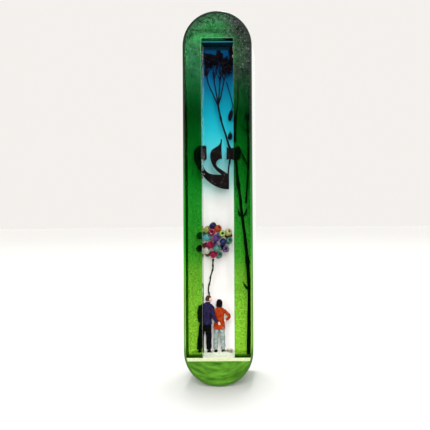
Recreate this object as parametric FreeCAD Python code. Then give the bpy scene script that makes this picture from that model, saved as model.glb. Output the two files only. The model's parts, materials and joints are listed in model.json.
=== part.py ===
import FreeCAD, Part
import math
import os

from FreeCAD import Vector

# Mezuzah case with a small scene behind a window, and a scroll in a niche at its back.
# Frame: X to the right, Z up, Y towards the doorpost. The origin is on the wall face of the
# adhesive strip, at mid-height, so the whole case stands at negative Y. Millimetres.

# ---- driving dimensions ----
CASE_HEIGHT = 130.0
CASE_WIDTH = 24.0
RIM = 0.7  # wall thickness beside the front frame
WALL = 1.1  # wall thickness beside the scene
FIT = 0.05  # glue line round the pieces that are set into the case or stuck to the pane
SLIP = 0.1  # clearance round the cover, which pulls off

STRIP_THICK = 1.0
COVER_THICK = 1.2
NICHE_DEPTH = 5.8
WEB_THICK = 1.0
BACKDROP_THICK = 0.4
SCENE_DEPTH = 6.3
PANE_THICK = 0.8
FRAME_THICK = 3.0

WINDOW_WIDTH = 11.0
WINDOW_TOP = 55.5
SAND_TOP = -55.1
SAND_THICK = 1.1
CEILING = 55.9
CEILING_THICK = 3.3
CEILING_GAP = 1.4  # open slot between the ceiling strip and the top block
CEILING_RECESS = 1.5  # how far both stand behind the pane

NICHE_WIDTH = 18.4
NICHE_HEIGHT = 116.0
SCROLL_WIDTH = 9.0
SCROLL_THICK = 5.0
SCROLL_HEIGHT = 100.0
PARCHMENT = 1.6  # thickness of the rolled turns taken together
BEAD_RADIUS = 1.2

# ---- levels along Y, from the wall to the front ----
strip_front = -STRIP_THICK
cover_front = strip_front - COVER_THICK
niche_front = cover_front - NICHE_DEPTH
web_front = niche_front - WEB_THICK
backdrop_front = web_front - BACKDROP_THICK
pane_back = backdrop_front - SCENE_DEPTH
pane_front = pane_back - PANE_THICK
case_front = pane_front - FRAME_THICK
scene_middle = (backdrop_front + pane_back) / 2
sand_bottom = SAND_TOP - SAND_THICK


def stadium(width, height, front, back):
    """An upright slab with half-round ends, between two levels along Y."""
    r = width / 2
    top = height / 2 - r
    right = Part.LineSegment(Vector(r, front, -top), Vector(r, front, top)).toShape()
    over = Part.Arc(Vector(r, front, top), Vector(0, front, top + r), Vector(-r, front, top)).toShape()
    left = Part.LineSegment(Vector(-r, front, top), Vector(-r, front, -top)).toShape()
    under = Part.Arc(Vector(-r, front, -top), Vector(0, front, -top - r), Vector(r, front, -top)).toShape()
    face = Part.Face(Part.Wire([right, over, left, under]))
    return face.extrude(Vector(0, back - front, 0))


def inset(margin, front, back):
    """A stadium slab that stands a margin inside the outline of the case."""
    return stadium(CASE_WIDTH - 2 * margin, CASE_HEIGHT - 2 * margin, front, back)


def box(x0, x1, y0, y1, z0, z1):
    return Part.makeBox(x1 - x0, y1 - y0, z1 - z0, Vector(x0, y0, z0))


def band(low, high):
    """All space between two heights, to cut a slab to length."""
    return box(-CASE_WIDTH, CASE_WIDTH, case_front - 1, 1, low, high)


def soften(shape, level, radius):
    """Rounds every edge of a shape that lies in the plane Y = level."""
    edges = [e for e in shape.Edges if abs(e.BoundBox.YMin - level) + abs(e.BoundBox.YMax - level) < 1e-4]
    return shape.makeFillet(radius, edges)


def joined(shapes):
    """One solid from shapes that overlap."""
    whole = shapes[0].fuse(shapes[1:])
    return whole.removeSplitter()


def ball(x, y, z, r):
    return Part.makeSphere(r, Vector(x, y, z))


def rod(a, b, ra, rb):
    """A round rod from a to b that tapers from radius ra to rb."""
    along = b - a
    if abs(ra - rb) < 1e-6:
        return Part.makeCylinder(ra, along.Length, a, along)
    return Part.makeCone(ra, rb, along.Length, a, along)


def ring(place, along, radius):
    """A circle round a place, square to a direction."""
    return Part.Wire([Part.makeCircle(radius, place, along)])


def turned(points, radii):
    """A crooked round piece with its own radius at each point, straight from one to the next."""
    places = [Vector(*p) for p in points]
    last = len(places) - 1
    rings = []
    for i, place in enumerate(places):
        along = places[min(i + 1, last)] - places[max(i - 1, 0)]
        rings.append(ring(place, along, radii[i]))
    return Part.makeLoft(rings, True, True)


def twig(points, thick, thin):
    """A crooked stalk that tapers from thick to thin."""
    last = len(points) - 1
    return [turned(points, [thick + (thin - thick) * i / last for i in range(last + 1)])]


# ---- the case and what closes it ----
def case_shell():
    body = inset(0, case_front, strip_front)
    body = soften(body, strip_front, 0.6)
    body = soften(body, case_front, 0.2)
    body = body.cut(inset(RIM, case_front - 1, pane_back))
    body = body.cut(inset(WALL, case_front, web_front))
    body = body.cut(stadium(NICHE_WIDTH, NICHE_HEIGHT, niche_front, strip_front + 1))
    return body.cut(inset(RIM, cover_front, strip_front + 1))


def front_frame():
    """Coloured clear slab, open below, with the tall window cut in it."""
    slab = inset(RIM + FIT, case_front, pane_front - FIT).cut(band(-CASE_HEIGHT, SAND_TOP + FIT))
    half = WINDOW_WIDTH / 2
    slab = slab.cut(box(-half, half, case_front - 1, pane_front + 1, -CASE_HEIGHT, WINDOW_TOP))
    return soften(slab, case_front, 0.15)


def window_pane():
    return inset(RIM + FIT, pane_front, pane_back).cut(band(-CASE_HEIGHT, SAND_TOP + FIT))


def stepped(low, high):
    """A block that fills the front recess and the scene space between two heights."""
    front = inset(RIM + FIT, case_front, pane_back)
    behind = inset(WALL + FIT, pane_back, backdrop_front)
    return joined([front, behind]).common(band(low, high))


def sand_floor():
    return stepped(sand_bottom, SAND_TOP)


def bottom_cap():
    return soften(stepped(-CASE_HEIGHT, sand_bottom), case_front, 0.15)


def sky_backdrop():
    return inset(WALL + FIT, backdrop_front, web_front)


def above_scene(low, high):
    return inset(WALL + FIT, pane_back + CEILING_RECESS, backdrop_front).common(band(low, high))


def ceiling_strip():
    return above_scene(CEILING, CEILING + CEILING_THICK)


def top_block():
    return above_scene(CEILING + CEILING_THICK + CEILING_GAP, CASE_HEIGHT)


# ---- the letter ----
def curve(points):
    """A smooth curve through a few points, as one edge."""
    line = Part.BSplineCurve()
    line.interpolate([Vector(x, 0, z) for x, z in points])
    return line.toShape()


def straight(a, b):
    return Part.LineSegment(Vector(a[0], 0, a[1]), Vector(b[0], 0, b[1])).toShape()


def stroke(edges, thick):
    """A flat piece cut to a closed outline, glued to the back of the window pane."""
    piece = Part.Face(Part.Wire(edges)).extrude(Vector(0, thick, 0))
    piece.translate(Vector(0, pane_back + FIT, 0))
    return piece


def shin_letter():
    """The letter shin, the usual sign on a mezuzah case: three arms that rise from one bowl."""
    thick = 1.0
    foot = (3.4, 3.5)
    crotch = (3.4, 8.7)
    tip = (-4.6, 18.9)
    notch = (-4.5, 14.2)
    bowl = stroke([
        curve([foot, (-1.3, 4.5), (-4.7, 7.0), (-7.2, 10.4), (-8.9, 14.2), (-8.8, 17.2), tip]),
        straight(tip, notch),
        curve([notch, (-5.6, 13.2), (-5.4, 11.0), (-4.0, 9.4), (-1.6, 8.7), crotch]),
        straight(crotch, foot),
    ], thick)
    spike = (0.5, 21.2)
    point = (1.0, 21.1)
    chin = (1.0, 14.3)
    heel = (2.2, 7.9)
    middle = stroke([
        curve([spike, (-0.3, 18.9), (-2.6, 17.3), (-3.1, 14.4), (-1.6, 10.9), heel]),
        straight(heel, (3.2, 8.4)),
        curve([(3.2, 8.4), (0.4, 10.7), (-1.2, 12.6), (-0.3, 14.0), chin]),
        curve([chin, (0.75, 17.6), point]),
        straight(point, spike),
    ], thick)
    right = stroke([
        curve([(2.7, 18.5), (5.2, 18.2), (7.2, 18.5), (7.7, 16.4), (7.2, 14.2), (4.2, 14.2)]),
        curve([(4.2, 14.2), (3.6, 11.4), (3.4, 8.0)]),
        straight((3.4, 8.0), (2.9, 8.0)),
        curve([(2.9, 8.0), (3.1, 11.4), (3.6, 14.2)]),
        straight((3.6, 14.2), (2.6, 14.0)),
        straight((2.6, 14.0), (2.7, 18.5)),
    ], thick)
    return joined([bowl, middle, right])


# ---- the couple ----
FIGURE_Y = scene_middle


def limb(a, b, ra, rb):
    """A tapered limb with a round end at b."""
    return [rod(Vector(*a), Vector(*b), ra, rb), ball(b[0], b[1], b[2], rb)]


def trunk(x, y, stations):
    """A body lofted through ellipses, each given as height, half-width and half-depth."""
    wires = []
    for z, wide, deep in stations:
        ellipse = Part.Ellipse(Vector(0, 0, 0), wide, deep).toShape()
        ellipse.translate(Vector(x, y, z))
        wires.append(Part.Wire([ellipse]))
    return Part.makeLoft(wires, True)


def leg(x, y, hip, foot_turn):
    """A trouser leg with its shoe on the sand."""
    ankle = SAND_TOP + 1.0
    shoe = Part.makeBox(1.3, 2.6, 1.1, Vector(x - 0.65 + foot_turn, y - 0.9, SAND_TOP))
    return [rod(Vector(x, y, hip), Vector(x, y, ankle), 1.0, 0.72), shoe]


def tall_figure():
    x = -5.3
    y = FIGURE_Y
    pieces = [trunk(x, y, [(-45.0, 1.6, 1.15), (-41.5, 1.65, 1.15), (-39.2, 2.1, 1.2), (-37.9, 1.2, 0.9)])]
    pieces += [ball(x + 0.9, y, -35.85, 1.12)]
    pieces += [rod(Vector(x + 0.7, y, -38.2), Vector(x + 0.85, y, -36.3), 0.6, 0.55)]
    pieces += limb((x - 1.9, y, -38.8), (x - 2.6, y + 0.4, -42.4), 0.7, 0.6)
    pieces += limb((x - 2.6, y + 0.4, -42.4), (x - 1.6, y + 1.1, -44.8), 0.6, 0.45)
    pieces += limb((x + 1.7, y, -38.8), (x + 2.8, y - 0.9, -41.6), 0.7, 0.6)
    pieces += limb((x + 2.8, y - 0.9, -41.6), (x + 4.9, y - 1.75, -44.3), 0.6, 0.42)
    pieces += leg(x - 1.2, y, -44.2, -0.3)
    pieces += leg(x + 0.9, y, -44.2, 0.2)
    return joined(pieces)


def short_figure():
    x = -0.6
    y = FIGURE_Y + 0.2
    pieces = [trunk(x, y, [(-46.6, 1.95, 1.25), (-43.2, 1.4, 1.0), (-40.9, 1.75, 1.05), (-39.5, 1.0, 0.8)])]
    pieces += [ball(x + 0.1, y, -37.4, 1.2)]
    pieces += [rod(Vector(x, y, -39.8), Vector(x + 0.05, y, -38.2), 0.6, 0.55)]
    pieces += limb((x + 1.4, y, -40.6), (x + 3.5, y, -42.2), 0.62, 0.5)
    pieces += limb((x + 3.5, y, -42.2), (x + 2.0, y, -44.1), 0.5, 0.4)
    pieces += limb((x - 1.3, y, -40.6), (x - 1.75, y + 1.0, -43.4), 0.6, 0.5)
    pieces += leg(x - 1.05, y, -46.0, -0.15)
    pieces += leg(x + 1.05, y, -46.0, 0.15)
    return joined(pieces)


# ---- the balloons: glass seed beads round the top of a wire ----
WIRE_RADIUS = 0.2
HAND_WIRE_Y = FIGURE_Y + 1.9


def balloon_wire():
    return joined(twig([
        (-2.7, scene_middle, -21.6),
        (-2.8, scene_middle + 0.1, -22.8),
        (-3.5, scene_middle + 0.2, -25.0),
        (-3.7, scene_middle + 0.4, -27.0),
        (-4.5, scene_middle + 0.7, -29.2),
        (-4.7, scene_middle + 1.1, -31.4),
        (-4.4, scene_middle + 1.5, -33.4),
        (-4.2, HAND_WIRE_Y, -35.0),
        (-4.3, HAND_WIRE_Y, -38.4),
    ], WIRE_RADIUS, WIRE_RADIUS))


# Each bead: place across, height, how far in front of the middle of the scene it starts,
# and the turn of its hole from facing the window.
BEADS = [
    (-4.7, -10.8, 0.2, 70),
    (-2.7, -9.6, 0.0, 60),
    (-2.9, -11.6, 1.6, 8),
    (-0.9, -10.4, 1.0, 55),
    (1.1, -12.2, 1.4, 14),
    (2.6, -12.2, -0.4, 50),
    (2.7, -12.8, -2.2, 65),
    (-4.7, -13.6, 1.0, 75),
    (-5.6, -12.4, -1.4, 40),
    (-3.1, -13.9, -0.8, 80),
    (-1.2, -13.8, 1.7, 60),
    (1.2, -15.2, 1.3, 85),
    (2.9, -14.8, -0.2, 45),
    (-3.6, -16.3, 1.5, 62),
    (-1.1, -17.5, 1.3, 72),
    (2.0, -17.9, 0.8, 12),
    (-4.8, -18.3, 1.0, 78),
    (-5.5, -16.8, -0.9, 33),
    (-4.6, -19.4, -1.2, 58),
    (-2.3, -19.7, 1.2, 66),
    (-0.8, -20.1, -1.0, 48),
    (-7.4, -13.0, 0.0, 70),
    (-7.4, -17.6, 0.0, 52),
    (-0.5, -13.0, -1.4, 30),
    (-2.3, -16.6, -1.5, 90),
    (0.5, -17.2, -1.5, 20),
]


def settled_places():
    """Centres of the beads, pushed apart until none overlaps, within the depth of the scene."""
    apart = 2 * BEAD_RADIUS + 0.02
    nearest = pane_back + BEAD_RADIUS + 0.1
    farthest = backdrop_front - BEAD_RADIUS - 0.1
    places = [Vector(x, scene_middle - ahead, z) for x, z, ahead, turn in BEADS]
    for _ in range(400):
        for i in range(len(places)):
            for j in range(i):
                away = places[i] - places[j]
                short = apart - away.Length
                if short > 0:
                    away.normalize()
                    places[i] = places[i] + away * (short / 2)
                    places[j] = places[j] - away * (short / 2)
        for place in places:
            place.y = min(max(place.y, nearest), farthest)
    return places


def bead(place, turn):
    """A glass seed bead: a round profile with flat ends, turned about its own hole."""
    hole = 0.32
    half = BEAD_RADIUS * 0.82
    end = math.sqrt(BEAD_RADIUS ** 2 - half ** 2)
    corners = [Vector(end, 0, -half), Vector(hole, 0, -half), Vector(hole, 0, half), Vector(end, 0, half)]
    sides = Part.makePolygon(corners).Edges
    bulge = Part.Arc(corners[3], Vector(BEAD_RADIUS, 0, 0), corners[0]).toShape()
    solid = Part.Face(Part.Wire(sides + [bulge])).revolve(Vector(0, 0, 0), Vector(0, 0, 1), 360)
    slant = math.radians(turn)
    along = Vector(math.sin(slant) * 0.8, -math.cos(slant), math.sin(slant) * 0.6)
    solid.Placement = FreeCAD.Placement(place, FreeCAD.Rotation(Vector(0, 0, 1), along))
    return solid


# ---- dried flowers and stalks ----
def seed_umbel():
    """The large stalk that rises at the right, with leaf tips at two knots, and its rays of seeds."""
    low = pane_back + 0.9
    mid = pane_back + 2.9
    high = pane_back + 2.6
    stalk = [
        (10.0, low, SAND_TOP), (10.2, low, -46.0), (10.3, low, -39.0), (10.25, low + 0.1, -31.6),
        (9.8, low + 0.5, -23.0), (9.0, low + 1.0, -14.8), (7.8, mid - 0.4, -5.2), (7.1, mid, 1.0),
        (6.2, mid, 8.1), (5.6, mid, 14.0), (3.3, mid, 19.0), (2.3, mid, 22.4), (0.6, high, 27.9),
        (-0.6, high, 33.6), (-0.8, high, 35.4),
    ]
    radii = [0.5, 0.48, 0.46, 0.55, 0.43, 0.4, 0.5, 0.36, 0.34, 0.32, 0.3, 0.28, 0.26, 0.3, 0.75]
    pieces = [turned(stalk, radii)]
    leaves = [((9.45, low + 0.3, -31.2), (8.2, low + 0.5, -29.6)),
              ((7.05, mid - 0.6, -4.9), (6.5, mid - 0.7, -3.7)),
              ((8.5, mid - 0.3, -4.9), (9.5, mid - 0.2, -3.2))]
    for leaf in leaves:
        pieces += twig(leaf, 0.28, 0.12)
    rays = [(-1.55, -4.2, -4.9, 50.6), (-1.05, -1.9, -2.2, 49.4), (-0.55, 0.1, 0.5, 50.4), (-0.1, 1.5, 3.1, 48.2)]
    for start, knee, end, top in rays:
        path = [(start, high, 35.6), (knee, high, 42.0), (end, high, top - 3.0), (end, high, top - 1.6),
                (end, high, top + 1.2), (end, high, top + 2.6)]
        pieces.append(turned(path, [0.2, 0.24, 0.4, 1.2, 1.2, 0.4]))
    pieces.append(turned([(-6.4, high, 51.3), (-6.95, high, 51.75), (-7.9, high, 52.4), (-8.6, high, 52.9)],
                         [0.4, 1.1, 1.1, 0.4]))
    return Part.makeCompound(pieces)


def pressed_flower():
    """A dried head laid flat behind the glass at the upper right, above its own thin stalk."""
    front = pane_back + 0.15
    line = Part.BSplineCurve()
    outline = [(7.4, 45.2), (5.2, 48.4), (4.7, 53.0), (5.0, 57.2), (7.0, 60.0), (9.2, 58.2), (10.3, 54.0),
               (10.2, 49.6), (9.0, 46.2)]
    line.interpolate([Vector(x, front, z) for x, z in outline], PeriodicFlag=True)
    head = Part.Face(Part.Wire([line.toShape()])).extrude(Vector(0, 1.2, 0))
    middle = front + 0.6
    stalk = twig([(7.3, middle, 44.9), (6.8, middle + 0.4, 39.0), (6.6, middle + 1.1, 34.0),
                  (6.1, middle + 1.4, 30.6), (5.8, middle + 1.3, 25.0), (5.7, middle + 1.0, 20.2)], 0.22, 0.28)
    return Part.makeCompound([head] + stalk)


def side_sprig():
    """A thin branching stalk along the right wall, with a round flower at its top."""
    y = backdrop_front - 1.3
    pieces = [ball(9.6, y, 30.2, 1.15)]
    pieces += twig([(9.6, y, 30.2), (9.8, y, 24.8), (10.0, y, 18.0), (9.9, y, 11.8), (9.5, y, 4.6),
                    (9.0, y, -1.4)], 0.18, 0.25)
    pieces += twig([(9.8, y, 24.8), (8.6, y, 21.4), (7.2, y, 17.9)], 0.17, 0.12)
    pieces += twig([(9.8, y, 24.8), (8.4, y, 26.0), (7.2, y, 27.4)], 0.17, 0.12)
    pieces += twig([(9.9, y, 12.2), (8.9, y, 14.4), (7.8, y, 16.6)], 0.17, 0.12)
    pieces += [ball(9.85, y, 24.8, 0.45), ball(9.9, y, 12.0, 0.45)]
    return joined(pieces)


def bud_sprig():
    """Two buds and a seed pod on one hair-thin stalk beside the window's right edge."""
    y = scene_middle + 1.9
    pieces = twig([(4.6, y, 20.4), (4.2, y, 26.0), (4.6, y, 33.6), (3.6, y, 38.0), (2.7, y, 41.6)], 0.14, 0.12)
    pieces += twig([(4.4, y, 31.6), (3.9, y, 29.8), (3.6, y, 28.4)], 0.42, 0.5)
    pieces += twig([(4.2, y, 24.0), (3.7, y, 23.4), (3.6, y, 22.0)], 0.4, 0.55)
    pieces += twig([(4.5, y, 32.4), (5.4, y, 31.4), (5.3, y, 29.4)], 0.5, 0.75)
    return joined(pieces)


# ---- the scroll and the back ----
def oval(width, thick, low, high):
    """An upright tube-like solid of oval section, at the middle of the niche."""
    ellipse = Part.Ellipse(Vector(0, 0, 0), width / 2, thick / 2).toShape()
    solid = Part.Face(Part.Wire([ellipse])).extrude(Vector(0, 0, high - low))
    solid.translate(Vector(0, (cover_front + niche_front) / 2, low))
    return solid


def scroll():
    """Blank parchment rolled up and pressed a little flat, open along its middle."""
    half = SCROLL_HEIGHT / 2
    core = oval(SCROLL_WIDTH - 2 * PARCHMENT, SCROLL_THICK - 2 * PARCHMENT, -half - 1, half + 1)
    return oval(SCROLL_WIDTH, SCROLL_THICK, -half, half).cut(core)


def scroll_band():
    """The paper band that keeps the scroll rolled."""
    turn = oval(SCROLL_WIDTH + 0.3, SCROLL_THICK + 0.3, -4.0, 4.0)
    return turn.cut(oval(SCROLL_WIDTH, SCROLL_THICK, -5.0, 5.0))


def back_cover():
    """Push-fit plate with a curved lip at each end and a notch for a fingernail."""
    plate = inset(RIM + SLIP, cover_front, strip_front)
    lip_width = NICHE_WIDTH - 2 * SLIP
    lip_height = NICHE_HEIGHT - 2 * SLIP
    lips = stadium(lip_width, lip_height, cover_front - 2.5, cover_front)
    lips = lips.cut(stadium(lip_width - 2.0, lip_height - 2.0, cover_front - 3, cover_front + 1))
    lips = lips.cut(band(-SCROLL_HEIGHT / 2 - 2.0, SCROLL_HEIGHT / 2 + 2.0))
    notch = Part.makeCylinder(4.0, 0.7, Vector(0, strip_front - 0.7, -CASE_HEIGHT / 2), Vector(0, 1, 0))
    return joined([plate] + lips.Solids).cut(notch)


def adhesive_strip():
    """Foam tape that holds the case to the doorpost."""
    strip = box(-7.0, 7.0, strip_front, 0.0, -52.0, 52.0)
    upright = [e for e in strip.Edges if e.BoundBox.YLength > 0.9]
    return strip.makeFillet(2.0, upright)


SINGLE_PIECES = [
    case_shell, front_frame, window_pane, sand_floor, bottom_cap, sky_backdrop, ceiling_strip, top_block,
    shin_letter, tall_figure, short_figure, balloon_wire, seed_umbel, pressed_flower, side_sprig,
    bud_sprig, scroll, scroll_band, back_cover, adhesive_strip,
]


def write(shape, node):
    print(node, "solids", len(shape.Solids), "valid", shape.isValid(), "mm3", round(shape.Volume, 2))
    shape.exportStep("parts/" + node + ".step")


os.makedirs("parts", exist_ok=True)
for piece in SINGLE_PIECES:
    write(piece(), piece.__name__)
for number, (place, row) in enumerate(zip(settled_places(), BEADS), 1):
    write(bead(place, row[3]), "bead_%02d" % number)
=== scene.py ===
import json
import math

import bpy
import numpy as np
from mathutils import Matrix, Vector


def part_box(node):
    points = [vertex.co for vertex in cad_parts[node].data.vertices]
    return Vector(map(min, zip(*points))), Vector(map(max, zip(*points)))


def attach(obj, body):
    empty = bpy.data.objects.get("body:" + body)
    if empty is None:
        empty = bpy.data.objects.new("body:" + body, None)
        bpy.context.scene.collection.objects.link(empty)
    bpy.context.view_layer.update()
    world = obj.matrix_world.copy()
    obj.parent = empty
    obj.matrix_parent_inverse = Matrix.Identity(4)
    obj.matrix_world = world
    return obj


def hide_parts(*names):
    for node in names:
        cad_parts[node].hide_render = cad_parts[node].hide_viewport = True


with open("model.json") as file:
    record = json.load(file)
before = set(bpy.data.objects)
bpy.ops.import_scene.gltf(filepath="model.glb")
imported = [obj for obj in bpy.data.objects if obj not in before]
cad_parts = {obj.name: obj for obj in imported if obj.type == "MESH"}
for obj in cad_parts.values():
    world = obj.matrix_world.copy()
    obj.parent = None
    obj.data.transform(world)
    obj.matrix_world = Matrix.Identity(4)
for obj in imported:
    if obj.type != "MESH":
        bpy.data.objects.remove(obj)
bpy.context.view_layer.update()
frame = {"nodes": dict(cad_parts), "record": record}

mm = 0.001  # shapes below are worked out in millimetres and scaled when their mesh is made
print("stage 1: frame loaded,", len(frame["nodes"]), "nodes")


def boxOf(node):
    # lowest and highest corner of a CAD node, in millimetres
    low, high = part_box(node)
    return np.array(low) / mm, np.array(high) / mm


shellLow, shellHigh = boxOf("case_shell")
caseFront = shellLow[1]
paneBack = boxOf("window_pane")[1][1]  # the scene lies between the pane and the card
cardFront, cardBack = (corner[1] for corner in boxOf("sky_backdrop"))
sandTop = boxOf("sand_floor")[1][2]
stripLow = boxOf("ceiling_strip")[0][2]
windowHalf, windowTop = 5.5, 55.5  # mm; the opening in the front slab


def feed(tree, node, values):
    # each named socket takes another node's output or a fixed value
    for name, value in values.items():
        if isinstance(value, bpy.types.NodeSocket):
            tree.links.new(value, node.inputs[name])
        else:
            node.inputs[name].default_value = value


def addNode(tree, kind, values=None, **settings):
    # a shader node with its settings and its sockets filled in
    node = tree.nodes.new("ShaderNode" + kind)
    for name, value in settings.items():
        setattr(node, name, value)
    feed(tree, node, values or {})
    return node


def arithmetic(tree, operation, first, second=0.0, third=None, clamp=False):
    # one Math node; each term is a socket or a number
    terms = {k: term for k, term in enumerate((first, second, third)) if term is not None}
    return addNode(tree, "Math", terms, operation=operation, use_clamp=clamp).outputs[0]


def times(tree, first, second):
    # first · second
    return arithmetic(tree, "MULTIPLY", first, second)


def without(tree, share):
    # 1 - share
    return arithmetic(tree, "SUBTRACT", 1.0, share)


def between(tree, share, low, high):
    # low + share · (high - low)
    return arithmetic(tree, "MULTIPLY_ADD", share, high - low, low)


def splitUp(tree, vector):
    # the X, Y and Z of a vector
    return addNode(tree, "SeparateXYZ", {0: vector}).outputs


def mixColour(tree, share, first, second):
    # first where share is 0, second where it is 1; each is a socket or a fixed colour
    first, second = ((*value, 1.0) if isinstance(value, tuple) else value for value in (first, second))
    return addNode(tree, "Mix", {0: share, 6: first, 7: second}, data_type="RGBA").outputs[2]


def tinted(tree, colour, shade):
    # a colour times a grey shade
    return addNode(tree, "VectorMath", {0: colour, "Scale": shade}, operation="SCALE").outputs[0]


viewSetup = {
    "toTheRight": 23.0,  # mm from the middle of the case
    "away": 173.7,  # mm in front of the case
    "height": -5.74,
    "lens": 42.05,
    "sensor": 36.0,
    "nearest": 5.0,  # mm
    "roll": 0.29,  # degrees
    "shift": -0.1615,  # brings the case back to the middle of the picture
}


def addCamera():
    # stands at (toTheRight, case front - away, height) and looks straight along Y
    camera = bpy.data.objects.new("camera", bpy.data.cameras.new("camera"))
    place = (viewSetup["toTheRight"], caseFront - viewSetup["away"], viewSetup["height"])
    camera.location = [value * mm for value in place]
    camera.rotation_euler = (math.radians(90), math.radians(viewSetup["roll"]), 0)
    camera.data.lens = viewSetup["lens"]
    camera.data.shift_x = viewSetup["shift"]
    camera.data.sensor_width = viewSetup["sensor"]
    camera.data.clip_start = viewSetup["nearest"] * mm
    bpy.context.scene.collection.objects.link(camera)
    bpy.context.scene.camera = camera
    bpy.context.scene.view_settings.view_transform = "Standard"


lightSetup = {
    "skyForCamera": (0.905, 0.88, 0.85),
    "ambient": (0.74, 0.74, 0.73),  # what lights the case from all round
    "mirroredBehind": (1.25, 1.25, 1.2),  # what gloss mirrors of the room behind the case
    "mirroredInFront": (0.03, 0.03, 0.03),  # and of the room in front
    "mirrorEnds": (-0.6, 0.4),  # how far along Y a direction points where the one gives way to the other
    "sun": {"turn": 7.0, "rise": 43.0, "spread": 30.0, "strength": 1.35},  # degrees and watts a square metre
}
softboxes = {  # metres and watts
    "leftLamp": {"place": (-0.30, -0.60, 0.12), "size": 0.22, "power": 1.0},
    "rightLamp": {"place": (0.15, -0.62, 0.14), "size": 0.24, "power": 2.4},
    "topLamp": {"place": (0.0, 0.07, 0.80), "size": 0.16, "power": 6.0},
}


def addLamp(name, lamp, place):
    # a lamp that faces the middle of the case
    lampObject = bpy.data.objects.new(name, lamp)
    lampObject.location = place
    aim = -np.array(place)
    lampObject.rotation_euler = (math.acos(-aim[2] / np.linalg.norm(aim)), 0, math.atan2(-aim[0], aim[1]))
    bpy.context.scene.collection.objects.link(lampObject)


def addSoftbox(name, place, size, power):
    # a square lamp
    lamp = bpy.data.lights.new(name, "AREA")
    lamp.shape = "SQUARE"
    lamp.size = size
    lamp.energy = power
    addLamp(name, lamp, place)


def addSun(turn, rise, spread, strength):
    # a wide sun in the direction (sin turn · cos rise, -cos turn · cos rise, sin rise)
    lamp = bpy.data.lights.new("sun", "SUN")
    lamp.angle = math.radians(spread)
    lamp.energy = strength
    side, high = math.radians(turn), math.radians(rise)
    addLamp("sun", lamp, (math.sin(side) * math.cos(high), -math.cos(side) * math.cos(high), math.sin(high)))


def makeWorld():
    # the camera sees an even pale backdrop, gloss mirrors a dim room in front and a pale one behind,
    # and everything else is lit evenly from all round
    world = bpy.data.worlds.new("studio")
    world.use_nodes = True
    bpy.context.scene.world = world
    tree = world.node_tree
    tree.nodes.clear()
    rayKind = addNode(tree, "LightPath").outputs
    backwards = splitUp(tree, addNode(tree, "TexCoord").outputs["Generated"])["Y"]
    inFront, behind = lightSetup["mirrorEnds"]
    ends = {"Value": backwards, "From Min": inFront, "From Max": behind}
    share = addNode(tree, "MapRange", ends).outputs[0]
    mirrored = mixColour(tree, share, lightSetup["mirroredInFront"], lightSetup["mirroredBehind"])
    lighting = mixColour(tree, rayKind["Is Glossy Ray"], lightSetup["ambient"], mirrored)
    felt = addNode(tree, "Background", {"Color": lighting})
    seen = addNode(tree, "Background", {"Color": (*lightSetup["skyForCamera"], 1.0)})
    either = addNode(tree, "MixShader", {0: rayKind["Is Camera Ray"], 1: felt.outputs[0], 2: seen.outputs[0]})
    addNode(tree, "OutputWorld", {"Surface": either.outputs[0]})


addCamera()
for lampName, lampValues in softboxes.items():
    addSoftbox(lampName, **lampValues)
addSun(**lightSetup["sun"])
makeWorld()
print("stage 2: camera and lamps")


def gridFaces(rows, columns, wraps=True):
    # two triangles for each cell of a grid of points; a wrapped grid joins its last column to its first
    across = np.arange(columns if wraps else columns - 1)
    row, column = np.meshgrid(np.arange(rows - 1), across, indexing="ij")
    beside = (column + 1) % columns
    a, b = row * columns + column, row * columns + beside
    c, d = b + columns, a + columns
    return np.concatenate([np.stack(corners, -1).reshape(-1, 3) for corners in ((a, b, c), (a, c, d))])


def closedSkin(grid):
    # a wrapped grid whose first and last rows close on their own middle points
    rows, columns = grid.shape[:2]
    points = np.concatenate([grid.reshape(-1, 3), grid[:1].mean(1), grid[-1:].mean(1)])
    ring = np.arange(columns)
    after = (ring + 1) % columns
    foot = np.full(columns, rows * columns)
    lowCap = np.stack([foot, after, ring], -1)
    highCap = np.stack([foot + 1, ring + (rows - 1) * columns, after + (rows - 1) * columns], -1)
    return points, np.concatenate([gridFaces(rows, columns), lowCap, highCap])


def together(parts):
    # one set of points and faces from several
    starts = np.cumsum([0] + [len(points) for points, _ in parts[:-1]])
    points = np.concatenate([points for points, _ in parts])
    return points, np.concatenate([faces + start for (_, faces), start in zip(parts, starts)])


def smoothLine(points, steps):
    # Catmull-Rom curve: each span mixes its four nearest points by cubic weights, in every column
    points = np.asarray(points, float)
    place = np.linspace(0, len(points) - 1, steps)
    span = np.minimum(place.astype(int), len(points) - 2)
    t = (place - span)[:, None]
    before, start, end, after = (points[np.clip(span + k, 0, len(points) - 1)] for k in (-1, 0, 1, 2))
    bend = 2 * before - 5 * start + 4 * end - after
    twist = -before + 3 * start - 3 * end + after
    return 0.5 * (2 * start + (end - before) * t + bend * t ** 2 + twist * t ** 3)


def unit(vectors):
    # vector / its length
    return vectors / np.maximum(np.linalg.norm(vectors, axis=-1, keepdims=True), 1e-9)


def tubeGrid(path, radius, sides=14, flatness=1.0):
    # point = path + radius · (side · cos a + up · flatness · sin a), square to the path
    path = np.asarray(path, float)
    radius = np.broadcast_to(np.asarray(radius, float), len(path))
    ahead = unit(np.gradient(path, axis=0))
    rare = np.eye(3)[np.argmin(np.abs(ahead).mean(0))]
    side = unit(np.cross(rare, ahead))
    up = np.cross(ahead, side)
    angle = np.linspace(0, 2 * np.pi, sides, endpoint=False)[None, :, None]
    outwards = side[:, None] * np.cos(angle) + flatness * up[:, None] * np.sin(angle)
    return path[:, None] + radius[:, None, None] * outwards


def tube(path, radius, sides=14, flatness=1.0):
    # a tube grid closed at both ends
    return closedSkin(tubeGrid(path, radius, sides, flatness))


def sphere(rise, turn):
    # (cos rise · cos turn, cos rise · sin turn, sin rise)
    return np.stack([np.cos(rise) * np.cos(turn), np.cos(rise) * np.sin(turn), np.sin(rise) + 0 * turn], -1)


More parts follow.
